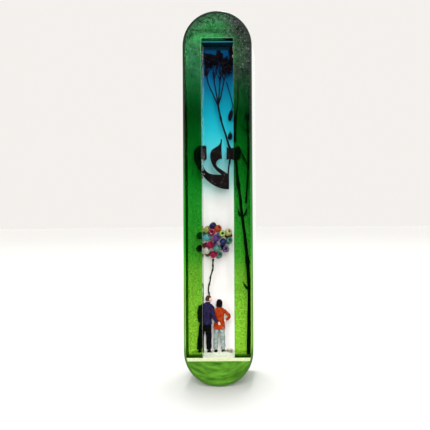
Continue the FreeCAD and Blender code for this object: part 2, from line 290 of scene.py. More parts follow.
def roundForm(centre, size, rows=24, columns=32, swell=None):
    # a closed ball: point = centre + size · unit direction · swell(direction)
    rise = np.linspace(-np.pi / 2 + 0.04, np.pi / 2 - 0.04, rows)[:, None]
    turn = np.linspace(0, 2 * np.pi, columns, endpoint=False)[None, :]
    direction = sphere(rise, turn)
    scale = 1.0 if swell is None else swell(direction)[..., None]
    return closedSkin(np.asarray(centre, float) + np.asarray(size, float) * direction * scale)


def loftGrid(stations, rows, columns, power=1.0, fold=None):
    # each station is height, middle x, middle y, half-width, half-depth; a ring's point is
    # middle + half-size · sign · |cos or sin| ^ power, pushed outwards by fold(height share, angle)
    line = smoothLine(stations, rows)
    angle = np.linspace(0, 2 * np.pi, columns, endpoint=False)[None, :]
    across = np.sign(np.cos(angle)) * np.abs(np.cos(angle)) ** power
    along = np.sign(np.sin(angle)) * np.abs(np.sin(angle)) ** power
    push = 0.0 if fold is None else fold(np.linspace(0, 1, rows)[:, None], angle)
    x = line[:, 1:2] + (line[:, 3:4] + push) * across
    y = line[:, 2:3] + (line[:, 4:5] + push) * along
    return np.stack([x, y, line[:, 0:1] + 0 * angle], -1)


def addPiece(name, shape, material, body, standsFor=(), smooth=True):
    # a mesh piece from points in millimetres and triangles; it rides on its body
    points, faces = shape
    mesh = bpy.data.meshes.new(name)
    mesh.vertices.add(len(points))
    mesh.vertices.foreach_set("co", (points * mm).astype(np.float32).ravel())
    mesh.loops.add(faces.size)
    mesh.loops.foreach_set("vertex_index", faces.astype(np.int32).ravel())
    mesh.polygons.add(len(faces))
    mesh.polygons.foreach_set("loop_start", np.arange(0, faces.size, 3, dtype=np.int32))
    mesh.polygons.foreach_set("use_smooth", np.full(len(faces), smooth))
    mesh.update(calc_edges=True)
    mesh.validate()
    mesh.materials.append(material)
    piece = bpy.data.objects.new(name, mesh)
    bpy.context.scene.collection.objects.link(piece)
    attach(piece, body)
    if standsFor:
        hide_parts(*standsFor)
    return piece


def newGroup(name, inputs, outputs):
    # a node group that reads a vector and numbers, given with their starting values, and puts out numbers
    group = bpy.data.node_groups.new(name, "ShaderNodeTree")
    group.interface.new_socket(name="Vector", in_out="INPUT", socket_type="NodeSocketVector")
    for label, value in inputs.items():
        socket = group.interface.new_socket(name=label, in_out="INPUT", socket_type="NodeSocketFloat")
        socket.default_value = value
    for label in outputs:
        group.interface.new_socket(name=label, in_out="OUTPUT", socket_type="NodeSocketFloat")
    return group, group.nodes.new("NodeGroupInput").outputs, group.nodes.new("NodeGroupOutput")


def shadeAndHeight(tree, noise, amount):
    # noise as it is for a height, and as a shade: 1 + (noise - 0.5) · amount
    centred = arithmetic(tree, "SUBTRACT", noise, 0.5)
    return {"Shade": arithmetic(tree, "MULTIPLY_ADD", centred, amount, 1.0), "Height": noise}


def makeGrain():
    # fine noise as a shade round 1 and as a height
    group, start, end = newGroup("fineGrain", {"Scale": 1000.0, "Amount": 0.1}, ("Shade", "Height"))
    values = {"Vector": start["Vector"], "Scale": start["Scale"], "Detail": 6.0, "Roughness": 0.6}
    noise = addNode(group, "TexNoise", values).outputs["Fac"]
    feed(group, end, shadeAndHeight(group, noise, start["Amount"]))
    return group


def makeSpecks():
    # scattered round dots: 1 inside a dot, 0 between, in those cells whose random value is under Share
    group, start, end = newGroup("specks", {"Scale": 1500.0, "Size": 0.25, "Share": 0.3}, ("Mask",))
    cells = addNode(group, "TexVoronoi", {"Vector": start["Vector"], "Scale": start["Scale"]}).outputs
    near = arithmetic(group, "LESS_THAN", cells["Distance"], start["Size"])
    random = addNode(group, "SeparateColor", {0: cells["Color"]}).outputs[0]
    chosen = arithmetic(group, "LESS_THAN", random, start["Share"])
    feed(group, end, {"Mask": times(group, near, chosen)})
    return group


def makeStrokes():
    # marks of a flat brush swept round a centre without a seam: noise read at (distance + y, and the
    # direction from the centre times Stretch)
    starts = {"Scale": 1200.0, "Stretch": 0.002, "Amount": 0.2}
    group, start, end = newGroup("brushStrokes", starts, ("Shade", "Height"))
    place = splitUp(group, start["Vector"])
    flat = addNode(group, "CombineXYZ", {"X": place["X"], "Z": place["Z"]}).outputs[0]
    reach = addNode(group, "VectorMath", {0: flat}, operation="LENGTH").outputs["Value"]
    direction = addNode(group, "VectorMath", {0: flat}, operation="NORMALIZE").outputs[0]
    sides = splitUp(group, tinted(group, direction, start["Stretch"]))
    outward = arithmetic(group, "ADD", reach, place["Y"])
    swept = addNode(group, "CombineXYZ", {"X": outward, "Y": sides["X"], "Z": sides["Z"]}).outputs[0]
    values = {"Vector": swept, "Scale": start["Scale"], "Detail": 4.0, "Roughness": 0.55}
    noise = addNode(group, "TexNoise", values).outputs["Fac"]
    feed(group, end, shadeAndHeight(group, noise, start["Amount"]))
    return group


grainGroup, specksGroup, strokesGroup = makeGrain(), makeSpecks(), makeStrokes()


def newMaterial(name, values=None):
    # a Principled material, its node tree, its shader and its Object coordinates
    material = bpy.data.materials.new(name)
    material.use_nodes = True
    tree = material.node_tree
    shader = tree.nodes["Principled BSDF"]
    feed(tree, shader, values or {})
    return material, tree, shader, addNode(tree, "TexCoord").outputs["Object"]


def placeGroup(tree, group, vector, values):
    # the outputs of one of the shared effects
    return addNode(tree, "Group", {"Vector": vector, **values}, node_tree=group).outputs


def byHeight(tree, vector, stops):
    # colours by height; each stop is millimetres above the middle of the case and a colour
    low, high = shellLow[2], shellHigh[2]
    span = {"Value": splitUp(tree, vector)["Z"], "From Min": low * mm, "From Max": high * mm}
    ramp = addNode(tree, "ValToRGB", {0: addNode(tree, "MapRange", span).outputs[0]})
    elements = ramp.color_ramp.elements
    while len(elements) < len(stops):
        elements.new(0.5)
    for element, (z, colour) in zip(elements, sorted(stops)):
        element.position = (z - low) / (high - low)
        element.color = (*colour, 1.0)
    return ramp.outputs["Color"]


def fade(tree, value, low, high):
    # 0 up to low and 1 from high on, in millimetres, eased between; low may be the larger
    ends = {"Value": value, "From Min": low * mm, "From Max": high * mm}
    return addNode(tree, "MapRange", ends, interpolation_type="SMOOTHSTEP").outputs[0]


def addBump(tree, shader, height, strength, distance):
    # raises the surface by height, distance at most
    bump = addNode(tree, "Bump", {"Height": height, "Strength": strength, "Distance": distance * mm})
    feed(tree, shader, {"Normal": bump.outputs[0]})


def varyRoughness(tree, shader, value, low, high):
    # roughness = low + value · (high - low)
    spread = addNode(tree, "MapRange", {"Value": value, "To Min": low, "To Max": high})
    feed(tree, shader, {"Roughness": spread.outputs[0]})


def paintedGrain(name, first, second, scale, roughness, bump, amount=0.5, gloss=0.3):
    # two shades of one paint or fibre mixed by fine noise, which also gives the roughness and the bump
    material, tree, shader, vector = newMaterial(name, {"Specular IOR Level": gloss})
    grain = placeGroup(tree, grainGroup, vector, {"Scale": scale, "Amount": amount})
    colour = mixColour(tree, grain["Height"], first, second)
    feed(tree, shader, {"Base Color": tinted(tree, colour, grain["Shade"])})
    varyRoughness(tree, shader, grain["Height"], *roughness)
    addBump(tree, shader, grain["Height"], 1.0, bump)
    return material


skyCard = {
    # printed sky by height, blue above and white below; the dark teal above 54.9 mm is painted shade under
    # the ceiling strip, the white part is tinted slightly pink against the green light from the slab, and
    # below -33 mm it grows paler as painted light where the figures shade it
    "stops": [
        (65, (0.002, 0.03, 0.045)), (54.9, (0.002, 0.03, 0.045)), (54.6, (0.002, 0.07, 0.21)),
        (51, (0.002, 0.075, 0.22)), (47.5, (0.003, 0.09, 0.245)), (44, (0.003, 0.11, 0.26)),
        (40, (0.002, 0.147, 0.262)), (36, (0.002, 0.205, 0.308)), (32.5, (0.003, 0.242, 0.345)),
        (29, (0.006, 0.3, 0.393)), (25.4, (0.012, 0.347, 0.438)), (21.7, (0.03, 0.419, 0.482)),
        (18, (0.07, 0.464, 0.515)), (14.4, (0.165, 0.508, 0.551)), (11, (0.26, 0.56, 0.575)),
        (7, (0.36, 0.61, 0.6)), (3.4, (0.551, 0.636, 0.642)), (-0.3, (0.666, 0.618, 0.623)),
        (-25, (0.689, 0.627, 0.632)), (-33, (0.742, 0.676, 0.68)), (-38, (0.848, 0.775, 0.798)),
        (-65, (0.93, 0.877, 0.906)),
    ],
    "fibre": {"Scale": 420.0, "Amount": 0.1},
    "tooth": {"Scale": 4000.0, "Amount": 0.08},
    "finish": {"Roughness": 0.75, "Specular IOR Level": 0.03},
}


def makeSkyCard():
    # colours by height on a card with a cloudy fibre and a fine tooth: the printed sky, with the painted
    # shade and painted light that skyCard's stops hold
    material, tree, shader, vector = newMaterial("skyCard", skyCard["finish"])
    fibre = placeGroup(tree, grainGroup, vector, skyCard["fibre"])
    tooth = placeGroup(tree, grainGroup, vector, skyCard["tooth"])
    colour = tinted(tree, byHeight(tree, vector, skyCard["stops"]), fibre["Shade"])
    feed(tree, shader, {"Base Color": tinted(tree, colour, tooth["Shade"])})
    addBump(tree, shader, tooth["Height"], 0.4, 0.02)
    return material


greenPaint = {  # heights and distances in millimetres
    "stops": [
        (-65, (0.045, 0.135, 0.01)), (-53.5, (0.05, 0.15, 0.011)), (-50, (0.122, 0.349, 0.0161)),
        (-45, (0.121, 0.308, 0.0215)), (-35, (0.105, 0.27, 0.013)), (-25, (0.058, 0.315, 0.0027)),
        (-17, (0.0061, 0.246, 0.0013)), (-11, (0.001, 0.202, 0.0009)), (-1, (0.0008, 0.173, 0.0008)),
        (11, (0.0008, 0.066, 0.0008)), (27, (0.0008, 0.0032, 0.0008)), (34, (0.0008, 0.0034, 0.0008)),
        (41, (0.0008, 0.0046, 0.0008)), (48, (0.0008, 0.0079, 0.0025)), (65, (0.0008, 0.0138, 0.0037)),
    ],
    "sides": [  # behind the front face
        (-65, (0.100, 0.300, 0.016)), (-45, (0.115, 0.315, 0.018)), (-30, (0.080, 0.250, 0.014)),
        (-17, (0.030, 0.190, 0.012)), (-1, (0.008, 0.135, 0.010)), (20, (0.004, 0.085, 0.008)),
        (41, (0.008, 0.070, 0.020)), (65, (0.020, 0.085, 0.034)),
    ],
    "behind": (0.1, 0.4),  # how far behind the front face the side colours begin and are full
    "outermost": (11.6, 11.85),  # where the edge of the front face begins and is full
    "edge": 0.35,  # what is left of the paint's brightness there
    "wallPaintedLight": 0.55,  # painted light: how strongly the chamber's walls glow in the card's colours, so the card beside them looks lit
    "chamber": 11.05,  # inside this distance from the middle line the walls carry the card's colours
    "strokes": {"Scale": 900.0, "Stretch": 0.004, "Amount": 0.35},
    "grain": {"Scale": 2600.0, "Amount": 0.2},
    "roughness": (0.28, 0.5),
    "finish": {"Specular IOR Level": 0.2, "Coat Weight": 1.0, "Coat Roughness": 0.05},
}


def fromMiddleLine(tree, vector):
    # distance to the upright line that the rounded outline runs round: √(x² + max(|z| - straight half, 0)²)
    place = splitUp(tree, vector)
    straight = (shellHigh[2] - shellHigh[0]) * mm
    beyond = arithmetic(tree, "SUBTRACT", arithmetic(tree, "ABSOLUTE", place["Z"]), straight)
    beyond = arithmetic(tree, "MAXIMUM", beyond, 0.0)
    squares = arithmetic(tree, "MULTIPLY_ADD", beyond, beyond, times(tree, place["X"], place["X"]))
    return arithmetic(tree, "SQRT", squares)


def makeCasePaint():
    # brushed greens by height, darker at the edge of the front face and paler behind it; the walls of the
    # chamber carry the card's colours instead and glow a little with them as painted light
    material, tree, shader, vector = newMaterial("paintedCase", greenPaint["finish"])
    strokes = placeGroup(tree, strokesGroup, vector, greenPaint["strokes"])
    grain = placeGroup(tree, grainGroup, vector, greenPaint["grain"])
    distance = fromMiddleLine(tree, vector)
    depth = splitUp(tree, vector)["Y"]
    behind = fade(tree, depth, *(caseFront + step for step in greenPaint["behind"]))
    front, sides = (byHeight(tree, vector, greenPaint[stops]) for stops in ("stops", "sides"))
    paint = tinted(tree, mixColour(tree, behind, front, sides), strokes["Shade"])
    outermost = times(tree, fade(tree, distance, *greenPaint["outermost"]), without(tree, behind))
    paint = tinted(tree, paint, between(tree, outermost, 1.0, greenPaint["edge"]))
    inward = fade(tree, distance, greenPaint["chamber"] + 0.02, greenPaint["chamber"] - 0.02)
    lined = times(tree, inward, fade(tree, depth, cardBack + 0.1, cardBack - 0.1))
    colour = mixColour(tree, lined, paint, byHeight(tree, vector, skyCard["stops"]))
    # painted light: the lined chamber walls glow with the card's colours
    feed(tree, shader, {
        "Base Color": tinted(tree, colour, grain["Shade"]),
        "Emission Color": colour,
        "Emission Strength": times(tree, lined, greenPaint["wallPaintedLight"]),
    })
    varyRoughness(tree, shader, grain["Height"], *greenPaint["roughness"])
    addBump(tree, shader, strokes["Height"], 0.5, 0.04)
    return material


capPaint = {
    "marksRound": -46.0,  # mm, the height of the point that the brush marks run round
    "dark": (0.040, 0.140, 0.005),
    "pale": (0.072, 0.215, 0.014),
    "strokes": {"Scale": 750.0, "Stretch": 0.0035, "Amount": 2.6},
    "grain": {"Scale": 1800.0, "Amount": 0.3},
    "finish": {"Specular IOR Level": 0.1, "Coat Weight": 0.1, "Coat Roughness": 0.2},
}


def makeCapPaint():
    # two greens mixed by brush marks that run round a centre above the cap
    material, tree, shader, vector = newMaterial("paintedCap", capPaint["finish"])
    lifted = (0.0, 0.0, -capPaint["marksRound"] * mm)
    centre = addNode(tree, "Mapping", {"Vector": vector, "Location": lifted}).outputs[0]
    strokes = placeGroup(tree, strokesGroup, centre, capPaint["strokes"])
    grain = placeGroup(tree, grainGroup, vector, capPaint["grain"])
    paint = mixColour(tree, strokes["Height"], capPaint["dark"], capPaint["pale"])
    paint = tinted(tree, paint, strokes["Shade"])
    feed(tree, shader, {"Base Color": tinted(tree, paint, grain["Shade"])})
    varyRoughness(tree, shader, strokes["Height"], 0.3, 0.5)
    addBump(tree, shader, strokes["Height"], 0.6, 0.05)
    return material


clearSheet = {
    "mirrorIndex": 1.2,
    "clearForLamps": 0.93,  # how much of the tint a lamp's light is spared, as in a thinner plate
    "colour": (0.975, 0.99, 0.99),
    "grain": {"Scale": 700.0, "Amount": 0.03},
    "gloss": 0.03,
}


def seeThrough(tree, shader, tintColour, gloss, haze=None, polish=None):
    # light passes with the tint, the outer faces mirror by Fresnel, polish adds mirroring, and haze adds
    # a little of the shader's own colour
    rayKind = addNode(tree, "LightPath").outputs
    lamplight = times(tree, rayKind["Is Shadow Ray"], clearSheet["clearForLamps"])
    passes = addNode(tree, "BsdfTransparent", {0: mixColour(tree, lamplight, tintColour, (1.0, 1.0, 1.0))})
    mirrors = addNode(tree, "BsdfGlossy", {"Roughness": gloss})
    fresnel = addNode(tree, "Fresnel", {"IOR": clearSheet["mirrorIndex"]}).outputs[0]
    outside = without(tree, addNode(tree, "NewGeometry").outputs["Backfacing"])
    share = times(tree, outside, fresnel)
    if polish is not None:
        share = arithmetic(tree, "MAXIMUM", share, times(tree, polish, outside))
    surface = addNode(tree, "MixShader", {0: share, 1: passes.outputs[0], 2: mirrors.outputs[0]})
    if haze is None:
        tree.nodes.remove(shader)
    else:
        surface = addNode(tree, "MixShader", {0: haze, 1: surface.outputs[0], 2: shader.outputs[0]})
    feed(tree, tree.nodes["Material Output"], {"Surface": surface.outputs[0]})


def makeClearAcrylic():
    # a clear sheet, very slightly cloudy
    material, tree, shader, vector = newMaterial("clearAcrylic")
    grain = placeGroup(tree, grainGroup, vector, clearSheet["grain"])
    plain = addNode(tree, "RGB")
    plain.outputs[0].default_value = (*clearSheet["colour"], 1.0)
    seeThrough(tree, shader, tinted(tree, plain.outputs[0], grain["Shade"]), clearSheet["gloss"])
    return material


greenTint = {  # what one face of the clear green slab lets through, by height, and its frosting
    "stops": [
        (-65, (0.1, 0.25, 0.04)), (-54.85, (0.1, 0.25, 0.04)), (-54.5, (0.452, 0.69, 0.174)),
        (-45, (0.466, 0.721, 0.181)), (-35, (0.434, 0.706, 0.183)), (-25, (0.382, 0.677, 0.175)),
        (-20, (0.243, 0.618, 0.152)), (-15, (0.197, 0.591, 0.156)), (-11, (0.183, 0.601, 0.157)),
        (-8, (0.152, 0.574, 0.155)), (2, (0.124, 0.534, 0.152)), (8, (0.099, 0.493, 0.121)),
        (22, (0.192, 0.442, 0.121)), (30, (0.071, 0.403, 0.099)), (41, (0.1, 0.708, 0.25)),
        (46, (0.114, 0.688, 0.314)), (52, (0.3, 0.921, 0.471)), (60, (0.086, 0.448, 0.172)),
    ],
    "veil": [  # how frosted the slab is, by height
        (-65, 0.004), (30, 0.004), (36, 0.015), (42, 0.04), (49, 0.07), (57, 0.09), (65, 0.10),
    ],
    "veilColour": [
        (-65, (0.05, 0.22, 0.02)), (25, (0.02, 0.30, 0.08)), (45, (0.17, 0.62, 0.27)),
        (65, (0.19, 0.62, 0.29)),
    ],
    "upper": (25.0, 50.0),  # the heights where smudge, dust and the painted highlight on the window's edges begin and are full
    "smudge": (0.19, 0.22, 0.20),  # colour of the frosting on the right
    "smudgeFrom": (-1.0, 8.0),  # mm across, where it starts and where it is full
    "smudgeWander": 12.0,  # mm, how far blotches push that border about
    "smudgeDepth": 0.45,
    "dustLeft": 0.10,
    "dustRight": 0.22,
    "rim": 0.11,  # painted highlight: extra frosting along the window's cut edges, standing in for their glint
    "edgeHighlightEnds": (0.5, 0.3),  # mm outside the window where that painted highlight ends and where it is full
    "cutFaceEnds": (0.06, 0.02),  # mm from the cut face over the window, in the same way
    "wallEnds": (0.08, 0.03),  # and from the cut faces beside it
    "cutFaceShade": 0.75,  # painted shade: how much darker the downward cut face over the window is painted
    "wallPolish": 0.8,  # how much the cut faces beside the window mirror
    "gloss": 0.06,
    "cloud": {"Scale": 1300.0, "Amount": 5.0},
    "fine": {"Scale": 1500.0, "Amount": 1.0},
    "blotch": {"Scale": 330.0, "Amount": 3.0},
    "dust": {"Scale": 1500.0, "Size": 0.3, "Share": 0.4},
}


def makeGreenAcrylic():
    # frosting by height, greyer and darker on the right where a dried flower shows through, with dust; a
    # painted highlight along the window's cut edges, and painted shade keeping the downward cut face over the
    # window dark
    finish = {"Roughness": 0.6, "Specular IOR Level": 0.1}
    material, tree, shader, vector = newMaterial("greenAcrylic", finish)
    cloud, fine, blotch = (
        placeGroup(tree, grainGroup, vector, greenTint[name]) for name in ("cloud", "fine", "blotch")
    )
    dust = placeGroup(tree, specksGroup, vector, greenTint["dust"])
    place = splitUp(tree, vector)
    height = place["Z"]
    upper = fade(tree, height, *greenTint["upper"])
    wander = arithmetic(tree, "SUBTRACT", blotch["Height"], 0.5)
    wander = arithmetic(tree, "MULTIPLY_ADD", wander, greenTint["smudgeWander"] * mm, place["X"])
    smudged = times(tree, fade(tree, wander, *greenTint["smudgeFrom"]), upper)
    frost = byHeight(tree, vector, [(z, (share,) * 3) for z, share in greenTint["veil"]])
    veil = times(tree, frost, times(tree, cloud["Shade"], blotch["Shade"]))
    strength = between(tree, smudged, greenTint["dustLeft"], greenTint["dustRight"])
    specks = times(tree, times(tree, dust["Mask"], upper), strength)
    # how far a point is outside the window, whose walls and upper face are cut through the slab
    beside = arithmetic(tree, "SUBTRACT", arithmetic(tree, "ABSOLUTE", place["X"]), windowHalf * mm)
    above = arithmetic(tree, "SUBTRACT", height, windowTop * mm)
    outside = arithmetic(tree, "MAXIMUM", beside, above)
    # rim: painted highlight along the window's cut edges
    rim = times(tree, fade(tree, outside, *greenTint["edgeHighlightEnds"]), times(tree, upper, greenTint["rim"]))
    overWindow = fade(tree, arithmetic(tree, "ABSOLUTE", above), *greenTint["cutFaceEnds"])
    overWindow = times(tree, overWindow, fade(tree, beside, 0.05, 0.0))
    wall = times(tree, fade(tree, beside, *greenTint["wallEnds"]), fade(tree, above, -0.1, -0.3))
    haze = arithmetic(tree, "ADD", arithmetic(tree, "ADD", veil, specks), rim, clamp=True)
    haze = times(tree, haze, without(tree, arithmetic(tree, "MAXIMUM", overWindow, wall)))
    frostColour = byHeight(tree, vector, greenTint["veilColour"])
    feed(tree, shader, {"Base Color": mixColour(tree, smudged, frostColour, greenTint["smudge"])})
    tint = tinted(tree, byHeight(tree, vector, greenTint["stops"]), fine["Shade"])
    darker = between(tree, smudged, 1.0, 1.0 - greenTint["smudgeDepth"])
    # the cut face over the window is darkened here as painted shade
    darker = arithmetic(tree, "MULTIPLY_ADD", overWindow, -greenTint["cutFaceShade"], darker)
    polish = times(tree, wall, greenTint["wallPolish"])
    seeThrough(tree, shader, tinted(tree, tint, darker), greenTint["gloss"], haze, polish)
    addBump(tree, shader, cloud["Height"], 0.6, 0.05)
    return material


sandLook = {  # dark and pale grains on the side and on the top, and scattered dark ones
    "side": ((0.33, 0.39, 0.20), (0.55, 0.61, 0.37)),
    "top": ((0.60, 0.62, 0.46), (0.95, 0.95, 0.84)),
    "dark": (0.13, 0.13, 0.07),
    "grain": {"Scale": 3200.0, "Amount": 0.6},
    "scatter": {"Scale": 3000.0, "Size": 0.3, "Share": 0.16},
}


def makeSand():
    # grains with scattered dark and olive ones, palest on top
    material, tree, shader, vector = newMaterial("sand", {"Roughness": 0.9, "Specular IOR Level": 0.1})
    grain = placeGroup(tree, grainGroup, vector, sandLook["grain"])
    dark = placeGroup(tree, specksGroup, vector, sandLook["scatter"])
    side, top = (mixColour(tree, grain["Height"], *sandLook[face]) for face in ("side", "top"))
    onTop = fade(tree, splitUp(tree, vector)["Z"], sandTop - 0.08, sandTop - 0.02)
    colour = mixColour(tree, dark["Mask"], mixColour(tree, onTop, side, top), sandLook["dark"])
    feed(tree, shader, {"Base Color": tinted(tree, colour, grain["Shade"])})
    addBump(tree, shader, grain["Height"], 1.0, 0.12)
    return material


letterLook = {
    "lacquer": ((0.0012, 0.0005, 0.0005), (0.0055, 0.0025, 0.0025)),
    "speck": (0.14, 0.11, 0.11),
    "dots": {"Scale": 2100.0, "Size": 0.26, "Share": 0.14},
    "grain": {"Scale": 1400.0, "Amount": 0.6},
}


def makeLetter():
    # dark lacquer with fine pale specks
    material, tree, shader, vector = newMaterial("speckledLetter", {"Specular IOR Level": 0.04})
    dots = placeGroup(tree, specksGroup, vector, letterLook["dots"])
    grain = placeGroup(tree, grainGroup, vector, letterLook["grain"])
    lacquer = mixColour(tree, grain["Height"], *letterLook["lacquer"])
    feed(tree, shader, {"Base Color": mixColour(tree, dots["Mask"], lacquer, letterLook["speck"])})
    varyRoughness(tree, shader, grain["Height"], 0.4, 0.65)
    addBump(tree, shader, grain["Height"], 0.5, 0.03)
    return material


beadLook = {
    "deep": 0.22,  # shares of the bead's own colour, between which the glass is clouded
    "bright": 0.66,
    "cloud": {"Scale": 900.0, "Amount": 0.5},
    "finish": {"Specular IOR Level": 0.2, "Coat Weight": 0.15, "Coat Roughness": 0.1},
}


def makeBead(name, colour):
    # glossy glass with slightly cloudy colour
    material, tree, shader, vector = newMaterial(name, beadLook["finish"])
    cloud = placeGroup(tree, grainGroup, vector, beadLook["cloud"])
    shades = (tuple(beadLook[share] * c for c in colour) for share in ("deep", "bright"))
    feed(tree, shader, {"Base Color": mixColour(tree, cloud["Height"], *shades)})
    varyRoughness(tree, shader, cloud["Height"], 0.18, 0.35)
    addBump(tree, shader, cloud["Height"], 0.2, 0.02)
    return material


def makeFoam():
    # closed-cell foam: small pits
    material, tree, shader, vector = newMaterial("foamTape", {"Roughness": 0.85})
    pits = addNode(tree, "TexVoronoi", {"Vector": vector, "Scale": 2600.0}).outputs["Distance"]
    feed(tree, shader, {"Base Color": mixColour(tree, pits, (0.52, 0.53, 0.52), (0.82, 0.83, 0.82))})
    addBump(tree, shader, pits, 0.7, 0.08)
    return material


petalLook = {
    "petals": ((0.05, 0.035, 0.03), (0.42, 0.36, 0.30)),
    "stalk": (0.004, 0.003, 0.004),
    "stalkEnds": (45.5, 47.5),  # mm, the heights between which the stalk turns into petals
    "grain": {"Scale": 1500.0, "Amount": 0.9},
}


def makePetals():
    # mottled pale petals over a nearly black stalk
    finish = {"Roughness": 0.8, "Specular IOR Level": 0.05}
    material, tree, shader, vector = newMaterial("pressedPetals", finish)
    grain = placeGroup(tree, grainGroup, vector, petalLook["grain"])
    petal = mixColour(tree, grain["Height"], *petalLook["petals"])
    bloom = fade(tree, splitUp(tree, vector)["Z"], *petalLook["stalkEnds"])
    colour = mixColour(tree, bloom, petalLook["stalk"], petal)
    feed(tree, shader, {"Base Color": tinted(tree, colour, grain["Shade"])})
    addBump(tree, shader, grain["Height"], 1.0, 0.08)
    return material


stripLook = {
    "pale": (0.42, 0.47, 0.44),
    # painted shade: the strip's lowest millimetre is dark teal and its lower face darker still, where shade
    # falls under the ceiling
    "shadedLowerEdge": (0.010, 0.190, 0.260),
    "shadedLowerFace": (0.002, 0.040, 0.058),
    "grain": {"Scale": 1200.0, "Amount": 0.2},
}


def makeStrip():
    # a pale strip whose lowest millimetre is painted teal and whose lower face is painted dark, as painted
    # shade under the ceiling
    material, tree, shader, vector = newMaterial("whiteStrip", {"Roughness": 0.7, "Specular IOR Level": 0.1})
    grain = placeGroup(tree, grainGroup, vector, stripLook["grain"])
    height = splitUp(tree, vector)["Z"]
    lowest = fade(tree, height, stripLow + 1.0, stripLow + 0.6)
    below = fade(tree, height, stripLow + 0.05, stripLow + 0.02)
    colour = mixColour(tree, lowest, stripLook["pale"], stripLook["shadedLowerEdge"])
    colour = mixColour(tree, below, colour, stripLook["shadedLowerFace"])
    feed(tree, shader, {"Base Color": tinted(tree, colour, grain["Shade"])})
    addBump(tree, shader, grain["Height"], 0.5, 0.03)
    return material


materials = {  # two shades, grain scale, roughness, bump in mm, contrast and gloss for the plain ones
    "painted_case": makeCasePaint(),
    "painted_cap": makeCapPaint(),
    "green_acrylic": makeGreenAcrylic(),
    "clear_acrylic": makeClearAcrylic(),
    "sky_card": makeSkyCard(),
    "sand": makeSand(),
    "speckled_letter": makeLetter(),
    "foam_tape": makeFoam(),
    "white_strip": makeStrip(),
    "green_block": paintedGrain(
        "greenBlock", (0.50, 0.60, 0.48), (0.66, 0.74, 0.62), 900.0, (0.6, 0.8), 0.05
    ),
    "white_cover": paintedGrain(
        "whiteCover", (0.76, 0.76, 0.74), (0.84, 0.84, 0.82), 2400.0, (0.45, 0.62), 0.03, 0.1
    ),
    "parchment": paintedGrain(
        "parchment", (0.58, 0.44, 0.25), (0.82, 0.70, 0.48), 500.0, (0.5, 0.7), 0.04, 0.3
    ),
    "paper_band": paintedGrain(
        "paperBand", (0.78, 0.76, 0.70), (0.90, 0.88, 0.82), 3000.0, (0.7, 0.9), 0.02, 0.2
    ),
    "dried_stalk": paintedGrain(
        "driedStalk", (0.0015, 0.001, 0.002), (0.008, 0.006, 0.010), 1500.0, (0.6, 0.85), 0.08, gloss=0.03
    ),
    "pressed_petals": makePetals(),
    "black_wire": paintedGrain(
        "blackWire", (0.002, 0.002, 0.002), (0.010, 0.010, 0.011), 2500.0, (0.35, 0.55), 0.02, gloss=0.05
    ),
    "purple_figure": paintedGrain(
        "purpleCoat", (0.006, 0.004, 0.022), (0.024, 0.017, 0.068), 1600.0, (0.5, 0.75), 0.08, 1.8, 0.05
    ),
    "orange_figure": paintedGrain(
        "orangeJacket", (0.14, 0.010, 0.002), (0.46, 0.048, 0.006), 1600.0, (0.5, 0.75), 0.08, 1.8, 0.04
    ),
}
clothes = {
    "blackTrousers": paintedGrain(
        "blackTrousers", (0.0008, 0.0008, 0.0012), (0.005, 0.005, 0.006), 1600.0, (0.5, 0.7), 0.05, gloss=0.03
    ),
    "greyTrousers": paintedGrain(
        "greyTrousers", (0.10, 0.13, 0.12), (0.38, 0.44, 0.41), 1600.0, (0.55, 0.75), 0.08, 1.8, 0.1
    ),
    "blackShoes": paintedGrain(
        "blackShoes", (0.001, 0.001, 0.001), (0.007, 0.007, 0.007), 2000.0, (0.25, 0.4), 0.02, gloss=0.08
    ),
    "skin": paintedGrain("skin", (0.62, 0.36, 0.24), (0.82, 0.58, 0.44), 1400.0, (0.45, 0.6), 0.03),
    "brownHair": paintedGrain(
        "brownHair", (0.018, 0.007, 0.003), (0.085, 0.036, 0.018), 2600.0, (0.4, 0.7), 0.08, gloss=0.06
    ),
    "dryMoss": paintedGrain("dryMoss", (0.10, 0.10, 0.05), (0.42, 0.42, 0.26), 1800.0, (0.7, 0.9), 0.03),
    "blackHair": paintedGrain(
        "blackHair", (0.001, 0.001, 0.0015), (0.007, 0.006, 0.008), 2600.0, (0.35, 0.6), 0.08, gloss=0.03
    ),
}
for row in frame["record"]["materials"]:
    if row["slot"].endswith("_bead"):
        materials[row["slot"]] = makeBead(row["slot"], row["base_color"][:3])
slotOf = {row["node"]: row["material_slot"] for row in frame["record"]["subparts"]}
for node, part in frame["nodes"].items():
    part.data.materials.clear()
    part.data.materials.append(materials[slotOf[node]])
print("stage 3: materials,", len(materials) + len(clothes))


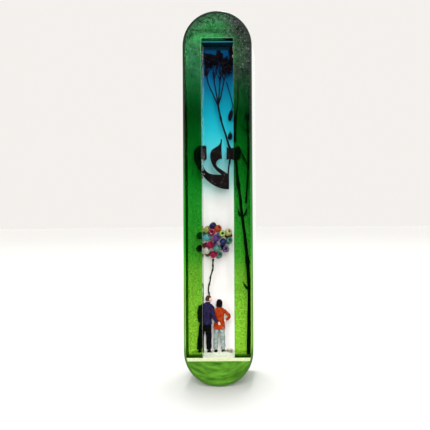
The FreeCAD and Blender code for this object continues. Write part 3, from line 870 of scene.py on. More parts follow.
tallMan = {  # millimetres; the middle of each ring is x, y; z runs from hem to neck
    "depth": -12.55,
    "shift": 0.35,
    "coat": [
        (-44.9, -5.75, 0.0, 2.05, 1.15), (-44.2, -5.8, 0.0, 2.15, 1.25), (-42.6, -5.85, 0.05, 1.95, 1.2),
        (-40.6, -5.85, 0.0, 2.2, 1.35), (-38.9, -5.75, 0.0, 2.5, 1.3), (-38.0, -5.6, 0.0, 2.15, 1.1),
        (-37.4, -5.3, 0.05, 1.15, 0.85), (-36.95, -5.05, 0.1, 0.62, 0.62),
    ],
    "legs": {
        "left": [
            (-53.9, -8.1, 0.05, 0.78, 0.72), (-53.2, -8.05, 0.0, 1.0, 0.9), (-50.2, -7.75, 0.0, 1.02, 0.95),
            (-47.5, -7.35, 0.0, 1.12, 1.05), (-45.0, -6.9, 0.0, 1.2, 1.1), (-43.9, -6.6, 0.0, 1.0, 1.0),
        ],
        "right": [
            (-53.9, -4.75, 0.05, 0.72, 0.72), (-53.2, -4.75, 0.0, 0.92, 0.9), (-50.2, -4.75, 0.0, 0.95, 0.95),
            (-47.5, -4.85, 0.0, 1.08, 1.05), (-45.0, -5.05, 0.0, 1.15, 1.1), (-43.9, -5.2, 0.0, 1.0, 1.0),
        ],
    },
    "arms": {
        "left": [
            (-7.6, 0.0, -38.3, 0.75), (-8.15, 0.1, -40.2, 0.72), (-8.2, 0.2, -42.2, 0.66),
            (-8.05, 0.35, -44.0, 0.55),
        ],
        "right": [
            (-3.9, -0.1, -38.5, 0.78), (-3.35, -0.5, -40.0, 0.74), (-3.0, -1.0, -41.5, 0.7),
            (-2.2, -1.5, -42.9, 0.6), (-1.35, -1.62, -43.75, 0.5),
        ],
    },
    "hands": {"left": (-8.0, 0.4, -44.7), "right": (-0.85, -1.6, -44.15)},
    "head": (-4.72, 0.15, -35.95),
    "headSize": (0.98, 1.05, 1.2),
    "turn": -92.0,  # degrees the face turns towards the other person
    "shoes": [(-8.1, 0.5), (-4.75, 0.5)],
}
shortWoman = {
    "depth": -12.35,
    "shift": 0.12,
    "coat": [
        (-46.6, -0.78, 0.0, 1.95, 1.15), (-46.0, -0.78, 0.0, 2.05, 1.22), (-44.6, -0.75, 0.0, 1.85, 1.15),
        (-43.1, -0.72, 0.0, 1.5, 1.0), (-41.4, -0.72, 0.0, 1.75, 1.12), (-40.1, -0.7, 0.0, 2.0, 1.12),
        (-39.4, -0.68, 0.0, 1.55, 0.95), (-38.8, -0.66, 0.05, 0.6, 0.6),
    ],
    "legs": {
        "left": [
            (-53.9, -2.1, 0.05, 0.61, 0.64), (-53.0, -2.1, 0.0, 0.78, 0.8), (-50.6, -1.95, -0.05, 0.84, 0.9),
            (-48.4, -1.85, 0.0, 0.86, 0.95), (-46.4, -1.7, 0.0, 0.98, 1.02), (-45.6, -1.55, 0.0, 0.9, 0.95),
        ],
        "right": [
            (-53.9, 0.55, 0.05, 0.59, 0.64), (-53.0, 0.6, 0.0, 0.74, 0.8), (-50.6, 0.5, -0.05, 0.8, 0.9),
            (-48.4, 0.35, 0.0, 0.84, 0.95), (-46.4, 0.2, 0.0, 0.95, 1.02), (-45.6, 0.1, 0.0, 0.9, 0.95),
        ],
    },
    "arms": {
        "left": [
            (-2.45, 0.0, -40.05, 0.6), (-2.75, 0.35, -41.2, 0.56), (-3.2, 0.75, -42.2, 0.5),
            (-3.7, 1.1, -42.9, 0.42),
        ],
        "right": [
            (1.0, 0.0, -40.0, 0.62), (2.0, -0.1, -41.0, 0.6), (2.85, -0.1, -42.0, 0.56),
            (2.45, -0.1, -42.85, 0.5), (1.75, -0.15, -43.35, 0.42),
        ],
    },
    "hands": {"left": (-4.1, 1.2, -43.2), "right": (1.35, -0.2, -43.65)},
    "head": (-0.75, 0.25, -37.35),
    "headSize": (0.95, 1.0, 1.15),
    "turn": 8.0,
    "shoes": [(-2.1, 0.45), (0.58, 0.45)],
}
cloth = {  # millimetres
    "folds": 0.09,
    "trouserFolds": 0.07,
    "shoe": (0.72, 1.2, 0.62),
    "sole": (0.66, 1.2, 0.16),
    "hem": 0.1,
    "collar": (0.62, 0.6),
    "collarThick": 0.17,
}
bodyForm = {  # millimetres, half-sizes and radii
    "palm": (0.4, 0.26, 0.46),
    "finger": 0.1,
    "thumb": 0.11,
    "nose": (0.14, 0.2, 0.22),
    "ear": (0.1, 0.2, 0.28),
    "neck": 0.46,
    "hairLift": 1.15,  # size of the hair against the skull
    "nape": {True: -0.75, False: -0.35},  # how low on the skull long and short hair reach
}


def wrinkles(amount, across, along, lean):
    # folds pushed out of a sleeve, leg or coat: two crossed waves, sharpened into creases
    def push(height, angle):
        # amount · (first · |first| + 0.6 · second)
        first = np.sin(across * angle + along * height + lean)
        second = np.sin((across + 2) * angle - 1.7 * along * height + 2.1 * lean)
        return amount * (first * np.abs(first) + 0.6 * second)
    return push


def placed(stations, person):
    # the stations moved to the person's own place
    moved = np.array(stations, float)
    moved[:, 1:3] += (person["shift"], person["depth"])
    return moved


def sleeve(points, person, lean):
    # a tube whose radius is creased along its length: radius · (1 + 0.1 · two waves)
    line = smoothLine(np.array(points) + (person["shift"], person["depth"], 0, 0), 36)
    length = np.linspace(0, 1, 36)
    crease = 1 + 0.1 * np.sin(26 * length + lean) * np.sin(7 * length + 1.3 * lean)
    return tube(line[:, :3], line[:, 3] * crease, 20)


def hand(place, person, reach):
    # a palm, four fingers held together and a thumb
    x, y, z = place[0] + person["shift"], place[1] + person["depth"], place[2]
    palm = roundForm((x, y, z), bodyForm["palm"], 12, 16)
    fingers = []
    for k in (-1.5, -0.5, 0.5, 1.5):
        tip = (x + k * 0.17 + reach * 0.2, y, z - 0.75 + 0.06 * k * k)
        fingers.append(tube([(x + k * 0.16, y, z - 0.2), tip], bodyForm["finger"], 8))
    thumb = tube([(x + reach * 0.3, y, z + 0.1), (x + reach * 0.55, y, z - 0.25)], bodyForm["thumb"], 8)
    return [palm, thumb] + fingers


def turned(shape, centre, degrees):
    # turns points about an upright line through centre
    points, faces = shape
    angle = math.radians(degrees)
    away = points - np.array(centre)
    x = away[:, 0] * math.cos(angle) - away[:, 1] * math.sin(angle)
    y = away[:, 0] * math.sin(angle) + away[:, 1] * math.cos(angle)
    return np.stack([x, y, away[:, 2]], -1) + np.array(centre), faces


def makeCoat(person):
    # a creased coat with a rolled hem, two sleeves and a ring for a collar
    coat = loftGrid(placed(person["coat"], person), 60, 56, 0.85, wrinkles(cloth["folds"], 5, 17, 0.4))
    hem = tubeGrid(np.append(coat[1], coat[1][:1], axis=0), cloth["hem"], 8)
    sleeves = [sleeve(points, person, lean) for lean, points in enumerate(person["arms"].values())]
    top, x, y = placed([person["coat"][-1]], person)[0][:3]
    turn = np.linspace(0, 2 * np.pi, 25)
    wide, deep = cloth["collar"]
    ring = np.stack([x + wide * np.cos(turn), y + deep * np.sin(turn), top + 0 * turn], -1)
    return together([closedSkin(coat), closedSkin(hem), tube(ring, cloth["collarThick"], 10)] + sleeves)


def makeTrousers(person):
    # a creased loft for each leg
    legs = []
    for k, leg in enumerate(person["legs"].values()):
        creases = wrinkles(cloth["trouserFolds"], 3, 24, 1.0 + k)
        legs.append(closedSkin(loftGrid(placed(leg, person), 40, 28, 0.9, creases)))
    return together(legs)


def makeShoes(person):
    # an upper flattened underneath and a thin sole for each foot
    shoes = []
    for x, y in person["shoes"]:
        x, y = x + person["shift"], y + person["depth"]
        upper = (x, y, sandTop + 0.36), cloth["shoe"], 14, 20
        shoes.append(roundForm(*upper, lambda d: 1 - 0.25 * np.clip(-d[..., 2] - 0.5, 0, 1)))
        shoes.append(roundForm((x, y, sandTop + 0.12), cloth["sole"], 8, 20))
    return together(shoes)


def makeSkin(person, head, size):
    # the face looks along +Y before it is turned: a jaw that narrows downwards, a nose, ears and a neck
    skull = roundForm(head, size, 28, 36, lambda d: 1 - 0.16 * np.clip(-d[..., 2], 0, 1) * (d[..., 1] < 0.9))
    nose = roundForm(head + (0, size[1] * 0.98, -0.1), bodyForm["nose"], 10, 12)
    ears = [
        roundForm(head + (side * size[0] * 0.98, -0.05, -0.08), bodyForm["ear"], 8, 12) for side in (-1, 1)
    ]
    top, x, y = placed([person["coat"][-1]], person)[0][:3]
    neck = tube([head + (0, -0.05, -0.6), (x, y, top - 0.25)], bodyForm["neck"], 16)
    skin = [turned(shape, head, person["turn"]) for shape in [skull, nose] + ears] + [neck]
    for side, place in person["hands"].items():
        skin += hand(place, person, -1 if side == "left" else 1)
    return together(skin)


def makeHair(person, head, size, longHair):
    # stands out over the crown and the back and shrinks under the skin at the face and below the nape
    def lock(direction):
        # hair lift + strands - 0.4 where the face or the nape lies
        x, y, z = direction[..., 0], direction[..., 1], direction[..., 2]
        front = np.clip((y - 0.25) * 3 - np.clip(z - 0.35, 0, 1) * 6, 0, 1)
        under = np.clip((bodyForm["nape"][longHair] - z) * 4, 0, 1)
        strands = 0.02 * np.sin(23 * np.arctan2(y, x) + 5 * z)
        return bodyForm["hairLift"] + strands - 0.4 * np.maximum(front, under)
    hair = [turned(roundForm(head + (0, -0.05, 0.06), size, 40, 56, lock), head, person["turn"])]
    if longHair:
        hair.append(fallingHair(head))
    return together(hair)


def fallingHair(head):
    # hair that falls from the back of the head to the shoulders
    x, y, z = head
    stations = [
        (z - 1.75, x, y - 0.42, 0.55, 0.3), (z - 1.5, x, y - 0.45, 0.8, 0.42),
        (z - 1.0, x, y - 0.4, 1.02, 0.6), (z - 0.3, x, y - 0.3, 1.1, 0.78), (z + 0.4, x, y - 0.2, 0.9, 0.7),
    ]
    strands = loftGrid(stations, 26, 48, 0.95, lambda height, angle: 0.03 * np.sin(17 * angle + 3 * height))
    return closedSkin(strands)


def makePerson(name, person, node, coatSlot, trousers, hair, longHair):
    # one piece for each of coat, trousers, shoes, skin and hair
    head = np.array(person["head"]) + (person["shift"], person["depth"], 0)
    size = np.array(person["headSize"])
    for part, shape, material in (
        ("Coat", makeCoat(person), materials[coatSlot]),
        ("Trousers", makeTrousers(person), clothes[trousers]),
        ("Shoes", makeShoes(person), clothes["blackShoes"]),
        ("Skin", makeSkin(person, head, size), clothes["skin"]),
        ("Hair", makeHair(person, head, size, longHair), clothes[hair]),
    ):
        addPiece(name + part, shape, material, "case_body", [node])


makePerson("tall", tallMan, "tall_figure", "purple_figure", "blackTrousers", "brownHair", False)
makePerson("short", shortWoman, "short_figure", "orange_figure", "greyTrousers", "blackHair", True)
print("stage 4: people")


beadForm = {  # millimetres
    "outer": 1.2,
    "halfLength": 0.984,
    "hole": 0.36,
    "squareness": 0.72,  # 1 for a round outline, less for a squarer one
    "around": 40,
    "steps": 36,
}
beadHoles = []


def beadProfile():
    # a closed outline between the hole and the rim: middle + half · sign · |cos or sin| ^ squareness
    turn = np.linspace(0, 2 * np.pi, beadForm["steps"], endpoint=False)
    middle = (beadForm["outer"] + beadForm["hole"]) / 2
    half = (beadForm["outer"] - beadForm["hole"]) / 2
    power = beadForm["squareness"]
    radius = middle + half * np.sign(np.cos(turn)) * np.abs(np.cos(turn)) ** power
    along = beadForm["halfLength"] * np.sign(np.sin(turn)) * np.abs(np.sin(turn)) ** power
    return radius, along


def holeOf(node):
    # a bead's middle, and its hole's direction: the axis whose spread differs most from the other two
    mesh = frame["nodes"][node].data
    points = np.empty(3 * len(mesh.vertices), np.float32)
    mesh.vertices.foreach_get("co", points)
    points = points.reshape(-1, 3) / mm
    points = points - points.mean(0)
    spread, axes = np.linalg.eigh(points.T @ points)
    low, high = boxOf(node)
    return (low + high) / 2, axes[:, 0] if spread[1] - spread[0] > spread[2] - spread[1] else axes[:, 2]


def makeBeadShape(centre, axis):
    # the outline swept round the hole: centre + radius · outwards + along · axis
    side = unit(np.cross(axis, (0.31, 0.52, 0.8)))
    up = np.cross(axis, side)
    radius, along = beadProfile()
    around, steps = beadForm["around"], beadForm["steps"]
    turn = np.linspace(0, 2 * np.pi, around, endpoint=False)[:, None, None]
    outwards = side * np.cos(turn) + up * np.sin(turn)
    points = (centre + outwards * radius[None, :, None] + axis * along[None, :, None]).reshape(-1, 3)
    faces = gridFaces(around + 1, steps) % (around * steps)
    corner = points[faces[0]]
    normal = np.cross(corner[1] - corner[0], corner[2] - corner[0])
    ringMiddle = centre + outwards[0, 0] * radius.mean()
    return points, faces if np.dot(normal, corner.mean(0) - ringMiddle) > 0 else faces[:, ::-1]


for node in sorted(frame["nodes"]):
    if node.startswith("bead_"):
        beadHoles.append(holeOf(node))
        shape = makeBeadShape(*beadHoles[-1])
        addPiece(node + "Glass", shape, materials[slotOf[node]], "case_body", [node])


wireLine = [  # the twisted wire's route from the bunch down to the hand
    (-2.7, -12.55, -21.4), (-2.85, -12.5, -23.4), (-2.8, -12.45, -24.6), (-3.2, -12.3, -26.2),
    (-3.8, -12.1, -28.0), (-3.95, -11.9, -29.4), (-4.45, -11.6, -31.2), (-4.65, -11.3, -32.8),
    (-4.45, -11.0, -34.4), (-4.4, -10.8, -36.4), (-4.3, -10.65, -38.0), (-3.6, -11.2, -38.3),
    (-3.0, -11.8, -38.6), (-2.6, -12.2, -39.1), (-2.5, -12.4, -40.0),
]
wireForm = {  # millimetres
    "strand": 0.16,
    "apart": 0.12,
    "winds": 27,
    "lump": 0.14,
    "lumpsAt": (0.02, 0.09, 0.18, 0.3, 0.41, 0.55, 0.74),  # shares of the length
    "lumpSpread": 0.011,
    "pin": 0.3,
    "steps": 300,
}


def makeWire():
    # one strand wound loosely round another, with a few dark lumps of glue, and a dark pin in each bead's
    # hole: point = line ± apart · (cos wind, sin wind), radius = strand + sum of bell-shaped lumps
    line = smoothLine(wireLine, wireForm["steps"])
    share = np.linspace(0, 1, wireForm["steps"])
    wind = 2 * np.pi * wireForm["winds"] * share
    away = (share - np.array(wireForm["lumpsAt"])[:, None]) / wireForm["lumpSpread"]
    lumps = wireForm["lump"] * np.exp(-away ** 2).sum(0)
    around = wireForm["apart"] * np.stack([np.cos(wind), np.sin(wind), 0 * wind], -1)
    parts = [tube(line + side * around, wireForm["strand"] + lumps, 9) for side in (1, -1)]
    reach = 0.8 * beadForm["halfLength"]
    for centre, axis in beadHoles:
        parts.append(tube([centre - reach * axis, centre + reach * axis], wireForm["pin"], 10))
    black = materials["black_wire"]
    addPiece("balloonStrings", together(parts), black, "case_body", ["balloon_wire"])


makeWire()
print("stage 5: beads and wire")


chance = np.random.RandomState(7)
stalkLine = [
    (10.0, -14.7, -55.1), (10.3, -14.6, -39.0), (10.25, -14.4, -31.6), (9.8, -14.2, -23.0),
    (9.0, -14.0, -14.8), (7.8, -13.6, -5.2), (7.1, -13.2, 1.0), (6.2, -12.9, 8.1), (5.6, -12.8, 14.0),
    (3.3, -12.9, 19.0), (2.3, -13.0, 22.4), (0.6, -13.1, 27.9), (-0.6, -13.1, 33.6),
]
umbel = {
    "fork": (-0.6, -13.1, 33.6),
    "rays": [
        [(-2.4, -13.2, 37.6), (-4.2, -13.2, 42.0), (-4.9, -13.1, 46.6)],
        [(-1.2, -13.0, 37.8), (-1.9, -12.9, 42.0), (-2.2, -12.8, 46.0)],
        [(-0.2, -13.2, 38.0), (0.1, -13.2, 41.6), (0.3, -13.2, 45.6)],
        [(0.5, -12.9, 37.4), (1.5, -12.9, 42.4), (2.6, -12.9, 46.4)],
    ],
    "leaves": [  # base, tip, width and bend
        ((10.1, -14.4, -32.4), (8.2, -14.6, -29.6), 0.42, (0.1, 0, -0.3)),
        ((10.2, -14.4, -32.0), (10.75, -14.2, -28.6), 0.3, (0.1, 0, 0)),
        ((7.9, -13.6, -6.4), (6.5, -13.8, -3.6), 0.45, (-0.3, 0, -0.4)),
        ((7.9, -13.6, -6.4), (9.5, -13.4, -3.1), 0.45, (0.4, 0, -0.4)),
        ((7.8, -13.6, -6.2), (7.4, -13.2, -2.6), 0.3, (0.1, 0, 0)),
    ],
    "knots": [(0.26, 0.25), (0.55, 0.32), (0.93, 0.12)],  # share of the stalk's length, and swelling
    "twigs": 7,  # thin twigs from the end of each ray
    "twigSpread": ((-2.2, 2.2), (-1.3, 1.3), (2.5, 6.0)),  # how far they reach along X, Y and Z
    "twigRoom": ((-5.6, -14.6, 43.0), (4.2, -10.4, 52.6)),  # lowest and highest place for their tips
    "seedSize": (0.34, 0.26, 0.5),
}
seedClusters = [  # middle x, y, z, half-sizes x, y, z, and how many seeds
    (-4.0, -12.9, 48.9, 1.5, 1.0, 2.2, 90), (-1.9, -12.7, 50.1, 1.6, 1.2, 2.0, 90),
    (-0.1, -12.8, 51.2, 1.4, 1.2, 2.2, 100), (2.3, -12.8, 48.8, 1.6, 1.1, 2.2, 110),
    (3.5, -13.0, 46.8, 0.9, 0.9, 2.2, 40), (-6.0, -13.3, 52.3, 0.9, 0.9, 2.3, 70),
    (-7.6, -13.4, 52.0, 1.0, 0.9, 0.9, 20), (1.6, -12.9, 46.0, 0.8, 0.9, 1.5, 30),
    (-4.9, -13.2, 45.2, 0.6, 0.6, 1.4, 20), (-3.9, -12.9, 51.0, 1.3, 1.0, 1.5, 60),
    (4.1, -13.0, 52.9, 0.8, 0.8, 2.0, 60), (4.3, -13.0, 49.6, 0.7, 0.8, 1.6, 34),
]


def barkTube(points, thick, thin, steps=90, sides=10, knots=()):
    # a stalk that tapers, swells at its knots and is ribbed along its length
    line = smoothLine(points, steps)
    share = np.linspace(0, 1, steps)
    radius = thick + (thin - thick) * share
    radius = radius * (1 + 0.08 * np.sin(37 * share) * np.sin(11 * share))
    for place, swell in knots:
        radius = radius + swell * np.exp(-((share - place) / 0.012) ** 2)
    return tube(line, radius, sides)


def scatterSeeds(clusters, size):
    # many small seeds: each is a few rings of five points, turned and sized at random
    rise = np.linspace(-1.2, 1.2, 4)[:, None]
    points, faces = closedSkin(sphere(rise, np.linspace(0, 2 * np.pi, 5, endpoint=False)[None, :]))
    places = []
    for x, y, z, wide, deep, high, count in clusters:
        away = unit(chance.normal(size=(count, 3))) * chance.uniform(0.25, 1, (count, 1)) ** 0.5
        places.append(np.array([x, y, z]) + away * (wide, deep, high))
    places = np.concatenate(places)
    count = len(places)
    sizes = np.array(size) * chance.uniform(0.6, 1.35, (count, 3))
    turns = np.linalg.qr(chance.normal(size=(count, 3, 3)))[0]
    turns[:, :, 0] *= np.sign(np.linalg.det(turns))[:, None]
    local = points[None] * sizes[:, None]
    spots = np.einsum("nij,npj->npi", turns, local) + places[:, None]
    allFaces = faces[None] + (np.arange(count) * len(points))[:, None, None]
    return spots.reshape(-1, 3), allFaces.reshape(-1, 3)


def leaf(base, tip, width, bend):
    # a narrow leaf folded along its middle: width · sin(share of length)
    line = smoothLine([base, (np.array(base) + tip) / 2 + bend, tip], 24)
    share = np.linspace(0, 1, 24)
    return tube(line, width * np.sin(np.pi * (0.12 + 0.86 * share)) + 0.02, 10, 0.35)


def addPlant(name, parts, node):
    # one dark dried plant in the case, in place of its CAD node
    addPiece(name, together(parts), materials["dried_stalk"], "case_body", [node])


def makeUmbel():
    # a knotty stalk with leaves, forking into rays with twigs at their ends, under a cloud of seeds
    fork = np.array(umbel["fork"])
    parts = [barkTube(stalkLine, 0.68, 0.3, 260, 12, umbel["knots"])]
    parts += [leaf(*values) for values in umbel["leaves"]]
    for ray in umbel["rays"]:
        parts.append(barkTube([fork] + ray, 0.27, 0.17, 60, 8, [(0.68, 0.1)]))
        joint, end = np.array(ray[1]), np.array(ray[2])
        for k in range(umbel["twigs"]):
            spread = [chance.uniform(low, high) for low, high in umbel["twigSpread"]]
            start = joint + (end - joint) * chance.uniform(0, 0.8)
            tip = np.clip(start + spread, *umbel["twigRoom"])
            middle = (start + tip) / 2 + chance.uniform(-0.3, 0.3, 3)
            parts.append(barkTube([start, middle, tip], 0.13, 0.08, 16, 6))
    parts.append(scatterSeeds(seedClusters, umbel["seedSize"]))
    addPlant("driedUmbel", parts, "seed_umbel")


makeUmbel()


sprigDepth = -10.7
sideSprig = {
    "stalk": [(9.0, -1.4), (9.5, 4.6), (9.9, 11.8), (10.0, 18.0), (9.8, 24.8), (9.6, 30.0)],  # x and z
    "knots": [(0.4, 0.3), (0.8, 0.45)],
    "twigs": [
        [(9.9, 12.0), (8.45, 14.6), (7.2, 17.9)], [(9.9, 12.0), (8.75, 14.6), (7.8, 16.6)],
        [(9.85, 24.8), (8.6, 25.7), (7.2, 27.4)],
    ],
    "bloom": [(9.6, sprigDepth, 30.2, 0.95, 0.7, 1.0, 60)],
    "seedSize": (0.3, 0.24, 0.34),
    "core": ((9.6, sprigDepth, 30.1), (0.9, 0.7, 0.95)),  # middle and half-sizes
}
budSprig = {
    "stalk": [(4.9, 20.4), (5.0, 26.0), (4.7, 32.4), (3.7, 37.4), (2.2, 42.6)],
    "knots": [(0.28, 0.1), (0.55, 0.14)],
    "buds": [  # base x and z, tip x and z, and width
        (3.2, 28.6, 4.0, 32.8, 0.78), (3.3, 21.7, 3.5, 24.4, 0.8), (4.8, 28.2, 5.9, 31.6, 0.5),
    ],
}


def flatLine(points):
    # x and z, set at the depth of the sprigs
    return [(x, sprigDepth, z) for x, z in points]


def makeSideSprig():
    # a knotty stalk with three twigs and a round head of seeds
    parts = [barkTube(flatLine(sideSprig["stalk"]), 0.4, 0.22, 160, 10, sideSprig["knots"])]
    parts += [barkTube(flatLine(twig), 0.24, 0.14, 40, 8) for twig in sideSprig["twigs"]]
    parts.append(scatterSeeds(sideSprig["bloom"], sideSprig["seedSize"]))
    parts.append(roundForm(*sideSprig["core"], 16, 20))
    addPlant("sideSprig", parts, "side_sprig")


def makeBudSprig():
    # a thin stalk and closed buds, each with a fine point
    parts = [barkTube(flatLine(budSprig["stalk"]), 0.26, 0.14, 120, 8, budSprig["knots"])]
    for baseX, baseZ, tipX, tipZ, width in budSprig["buds"]:
        base, tip = flatLine([(baseX, baseZ), (tipX, tipZ)])
        parts.append(leaf(base, tip, width, (0, 0, 0)))
        parts.append(barkTube([tip, (tipX - 0.05, sprigDepth, tipZ + 0.6)], 0.12, 0.05, 8, 6))
    addPlant("budSprig", parts, "bud_sprig")


makeSideSprig()
makeBudSprig()


pressedFlower = {
    "middle": (7.5, -14.95, 52.6),
    "petals": 15,
    "reach": (2.5, 0.0, 5.9),
    "width": 1.05,
    "widest": 1.1,
    "thick": 0.22,
    "stalk": [
        (7.3, -14.9, 46.5), (6.8, -14.8, 39.0), (6.6, -14.6, 34.0), (6.1, -14.4, 30.6), (5.8, -14.1, 25.0),
        (5.7, -13.8, 20.3),
    ],
    "heart": [(7.5, -14.95, 52.6, 1.1, 0.3, 1.6, 40)],
    "seedSize": (0.26, 0.16, 0.26),
}


def makePressedFlower():
    # a flat pressed head: crinkled petals overlap round a middle, over a thin stalk
    share = np.linspace(0, 1, 22)
    parts = []
    for k in range(pressedFlower["petals"]):
        turn = 2 * np.pi * k / pressedFlower["petals"] + 0.2
        reach = np.array(pressedFlower["reach"]) * (np.cos(turn), 0.0, np.sin(turn))
        sway = [0.18 * np.sin(9 * share + k), 0.1 * np.sin(k) + 0 * share, 0.2 * np.sin(7 * share + 2 * k)]
        line = np.array(pressedFlower["middle"]) + reach * share[:, None] + np.stack(sway, -1)
        crinkle = 1 + 0.12 * np.sin(31 * share + k)
        width = 0.15 + pressedFlower["width"] * np.sin(np.pi * np.clip(share * 0.92, 0, 1)) ** 0.7 * crinkle
        flatness = pressedFlower["thick"] / pressedFlower["widest"]
        parts.append(tube(line, np.minimum(width, pressedFlower["widest"]), 16, flatness))
    parts.append(barkTube(pressedFlower["stalk"], 0.26, 0.2, 90, 8, [(0.3, 0.1)]))
    parts.append(scatterSeeds(pressedFlower["heart"], pressedFlower["seedSize"]))
    petals = materials["pressed_petals"]
    addPiece("pressedFlower", together(parts), petals, "case_body", ["pressed_flower"])


makePressedFlower()
print("stage 6: plants")


mound = {  # millimetres, and how many points across and in depth
    "halfWidth": 10.5,
    "inset": 0.25,
    "across": 120,
    "deep": 44,
    "rough": 0.05,
    "ease": 0.4,  # how far from its edges the mound reaches its full height
    "clusters": [
        (0.0, -12.4, sandTop + 0.16, 10.0, 2.7, 0.06, 420), (-0.5, -12.8, sandTop + 0.22, 3.0, 1.6, 0.1, 160),
        (2.2, -12.6, sandTop + 0.3, 1.7, 1.2, 0.22, 120),
    ],
    "grainSize": (0.13, 0.13, 0.11),
}


def facing(points, faces, axis, sign):
    # the faces, turned over if the first one doesn't look along axis in the direction of sign
    a, b, c = points[faces[0]]
    return faces if np.cross(b - a, c - a)[axis] * sign > 0 else faces[:, ::-1]


def makeMound():
    # low mounds of sand on the slab: height = sum of gentle waves, falling to nothing at the edges
    half, across, deep = mound["halfWidth"], mound["across"], mound["deep"]
    back, front = cardFront - mound["inset"], paneBack + 0.3
    x, y = np.meshgrid(np.linspace(-half, half, across), np.linspace(back, front, deep), indexing="ij")
    swell = 0.10 + 0.07 * np.sin(1.1 * x + 0.5 * y) * np.sin(0.9 * y + 0.4 * x)
    swell = swell + 0.05 * np.sin(2.9 * x) * np.sin(2.3 * y + 1)
    swell = swell + chance.uniform(-mound["rough"], mound["rough"], x.shape)
    edge = np.minimum(np.minimum(half - np.abs(x), back - y), y - front)
    top = np.stack([x, y, sandTop + np.maximum(swell, 0.02) * np.clip(edge / mound["ease"], 0, 1)], -1)
    bottom = np.stack([x, y, sandTop - 0.05 + 0 * x], -1)
    points = np.concatenate([top.reshape(-1, 3), bottom.reshape(-1, 3)])
    topFaces = facing(points, gridFaces(across, deep, wraps=False), 2, 1)
    index = np.arange(across * deep).reshape(across, deep)
    rim = np.concatenate([index[0], index[1:, -1], index[-1, -2::-1], index[-2:0:-1, 0]])
    after, low = np.roll(rim, -1), across * deep
    corners = (rim, after, after + low), (rim, after + low, rim + low)
    walls = facing(points, np.concatenate([np.stack(corner, -1) for corner in corners]), 0, -1)
    return points, np.concatenate([topFaces, topFaces[:, ::-1] + low, walls])


def makeSandGrains():
    # the mounds with loose grains on them
    shape = together([makeMound(), scatterSeeds(mound["clusters"], mound["grainSize"])])
    addPiece("sandGrains", shape, materials["sand"], "case_body", ())


moss = {
    "clumps": [(2.4, 1.1, 60, 1.1), (3.7, 0.4, 26, 1.3), (1.2, 0.6, 24, 0.7), (-2.9, 0.5, 16, 0.6)],
    "depth": -12.4,
    "lean": ((-0.7, 0.7), (-0.4, 0.4), (0.35, 1.0)),
    "thick": [0.06, 0.06, 0.05, 0.05, 0.04, 0.02],
}


def makeTufts():
    # dry moss: short bent fibres in clumps, each with its middle, spread, count and height
    parts = []
    for middle, spread, count, tall in moss["clumps"]:
        for k in range(count):
            across = middle + chance.normal() * spread * 0.5
            base = np.array([across, moss["depth"] + chance.uniform(-1, 1), sandTop + 0.05])
            lean = np.array([chance.uniform(low, high) for low, high in moss["lean"]]) * (1, 1, tall)
            curl = np.array([chance.uniform(-0.4, 0.4), chance.uniform(-0.3, 0.3), 0.1])
            line = smoothLine([base, base + lean * 0.6 + curl * 0.3, base + lean + curl], len(moss["thick"]))
            parts.append(tube(line, moss["thick"], 4))
    addPiece("mossTufts", together(parts), clothes["dryMoss"], "case_body", ())


makeSandGrains()
makeTufts()


parchmentRoll = {  # millimetres
    "turns": 4.2,
    "sheet": 0.13,
    "gap": 0.28,
    "halfWidth": 4.42,
    "halfDepth": 2.4,
    "halfLength": 49.7,
    "ripple": 0.25,  # how uneven the cut ends are
}


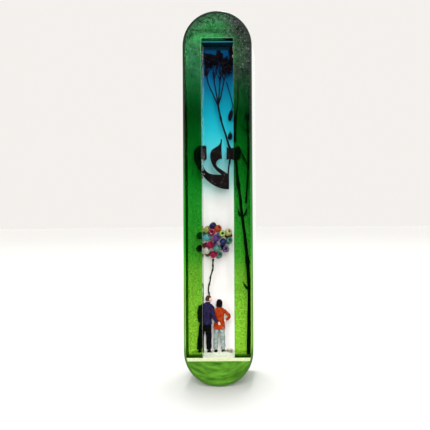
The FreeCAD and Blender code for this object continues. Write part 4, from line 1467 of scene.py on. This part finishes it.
def makeScroll():
    # an oval spiral: half-width = outside - gap · turns, with a wall as thick as the sheet
    low, high = boxOf("scroll")
    middle = (low + high) / 2
    along = np.linspace(0, 1, 220)
    turn = 2 * np.pi * parchmentRoll["turns"] * along
    shrink = parchmentRoll["gap"] * parchmentRoll["turns"] * along
    outer = np.stack([
        middle[0] + (parchmentRoll["halfWidth"] - shrink) * np.cos(turn),
        middle[1] + (parchmentRoll["halfDepth"] - shrink) * np.sin(turn),
    ], -1)
    ahead = unit(np.gradient(outer, axis=0))
    inner = outer + parchmentRoll["sheet"] * np.stack([-ahead[:, 1], ahead[:, 0]], -1)
    loop = np.concatenate([outer, inner[::-1]])
    rows = np.linspace(-1, 1, 41)
    ripple = parchmentRoll["ripple"] * np.sin(np.linspace(0, 14, len(loop))) * (np.abs(rows) > 0.99)[:, None]
    z = middle[2] + rows[:, None] * parchmentRoll["halfLength"] + ripple * np.sign(rows)[:, None]
    grid = np.stack([loop[:, 0] + 0 * z, loop[:, 1] + 0 * z, z], -1)
    count = len(loop)
    k = np.arange(count // 2 - 1)
    across = count - 1 - k
    corners = (k, k + 1, across - 1), (k, across - 1, across)
    strip = np.concatenate([np.stack(corner, -1) for corner in corners])
    lastRow = (len(rows) - 1) * count
    sides = gridFaces(len(rows), count)
    points = grid.reshape(-1, 3)
    a, b, c = points[sides[0]]
    if np.dot(np.cross(b - a, c - a), a - np.append(middle[:2], a[2])) < 0:
        sides = sides[:, ::-1]
    bottom = facing(points, strip, 2, -1)
    shape = points, np.concatenate([sides, bottom, bottom[:, ::-1] + lastRow])
    addPiece("parchmentRoll", shape, materials["parchment"], "scroll_body", ["scroll"])


makeScroll()
print("stage 7: sand, tufts and scroll")


floorTone = {  # colours, and distances in millimetres; darker near the case and paler far out, as painted light that evens out the lamps' falloff
    "near": (0.56, 0.555, 0.545),
    "far": (0.92, 0.895, 0.865),
    "reach": 240.0,  # how far out the near tone is full
    "ease": 174.0,  # how soon it gives way after that
    "radius": 2500.0,
    "corners": 96,
    "below": 0.1,  # under the lowest point of the case
    "grain": {"Scale": 60.0, "Amount": 0.02},
}


def makeFloor():
    # a wide disc just under the case, toned as painted light against the lamps' falloff; share of the near
    # tone = (reach + ease) / (distance + ease)
    material, tree, shader, vector = newMaterial("paleFloor", {"Roughness": 0.55, "Specular IOR Level": 0.2})
    grain = placeGroup(tree, grainGroup, vector, floorTone["grain"])
    flat = addNode(tree, "VectorMath", {0: vector, 1: (1.0, 1.0, 0.0)}, operation="MULTIPLY").outputs[0]
    distance = addNode(tree, "VectorMath", {0: flat}, operation="LENGTH").outputs["Value"]
    away = arithmetic(tree, "ADD", distance, floorTone["ease"] * mm)
    near = arithmetic(tree, "DIVIDE", (floorTone["reach"] + floorTone["ease"]) * mm, away, clamp=True)
    tone = mixColour(tree, near, floorTone["far"], floorTone["near"])
    feed(tree, shader, {"Base Color": tinted(tree, tone, grain["Shade"])})
    corners, radius = floorTone["corners"], floorTone["radius"]
    turn = np.linspace(0, 2 * np.pi, corners, endpoint=False)
    level = np.full(corners, shellLow[2] - floorTone["below"])
    rim = np.stack([radius * np.cos(turn), radius * np.sin(turn), level], -1)
    mesh = bpy.data.meshes.new("floor")
    mesh.from_pydata((rim * mm).tolist(), [], [list(range(corners))])
    mesh.materials.append(material)
    floor = bpy.data.objects.new("floor", mesh)
    floor.visible_glossy = False
    bpy.context.scene.collection.objects.link(floor)


makeFloor()
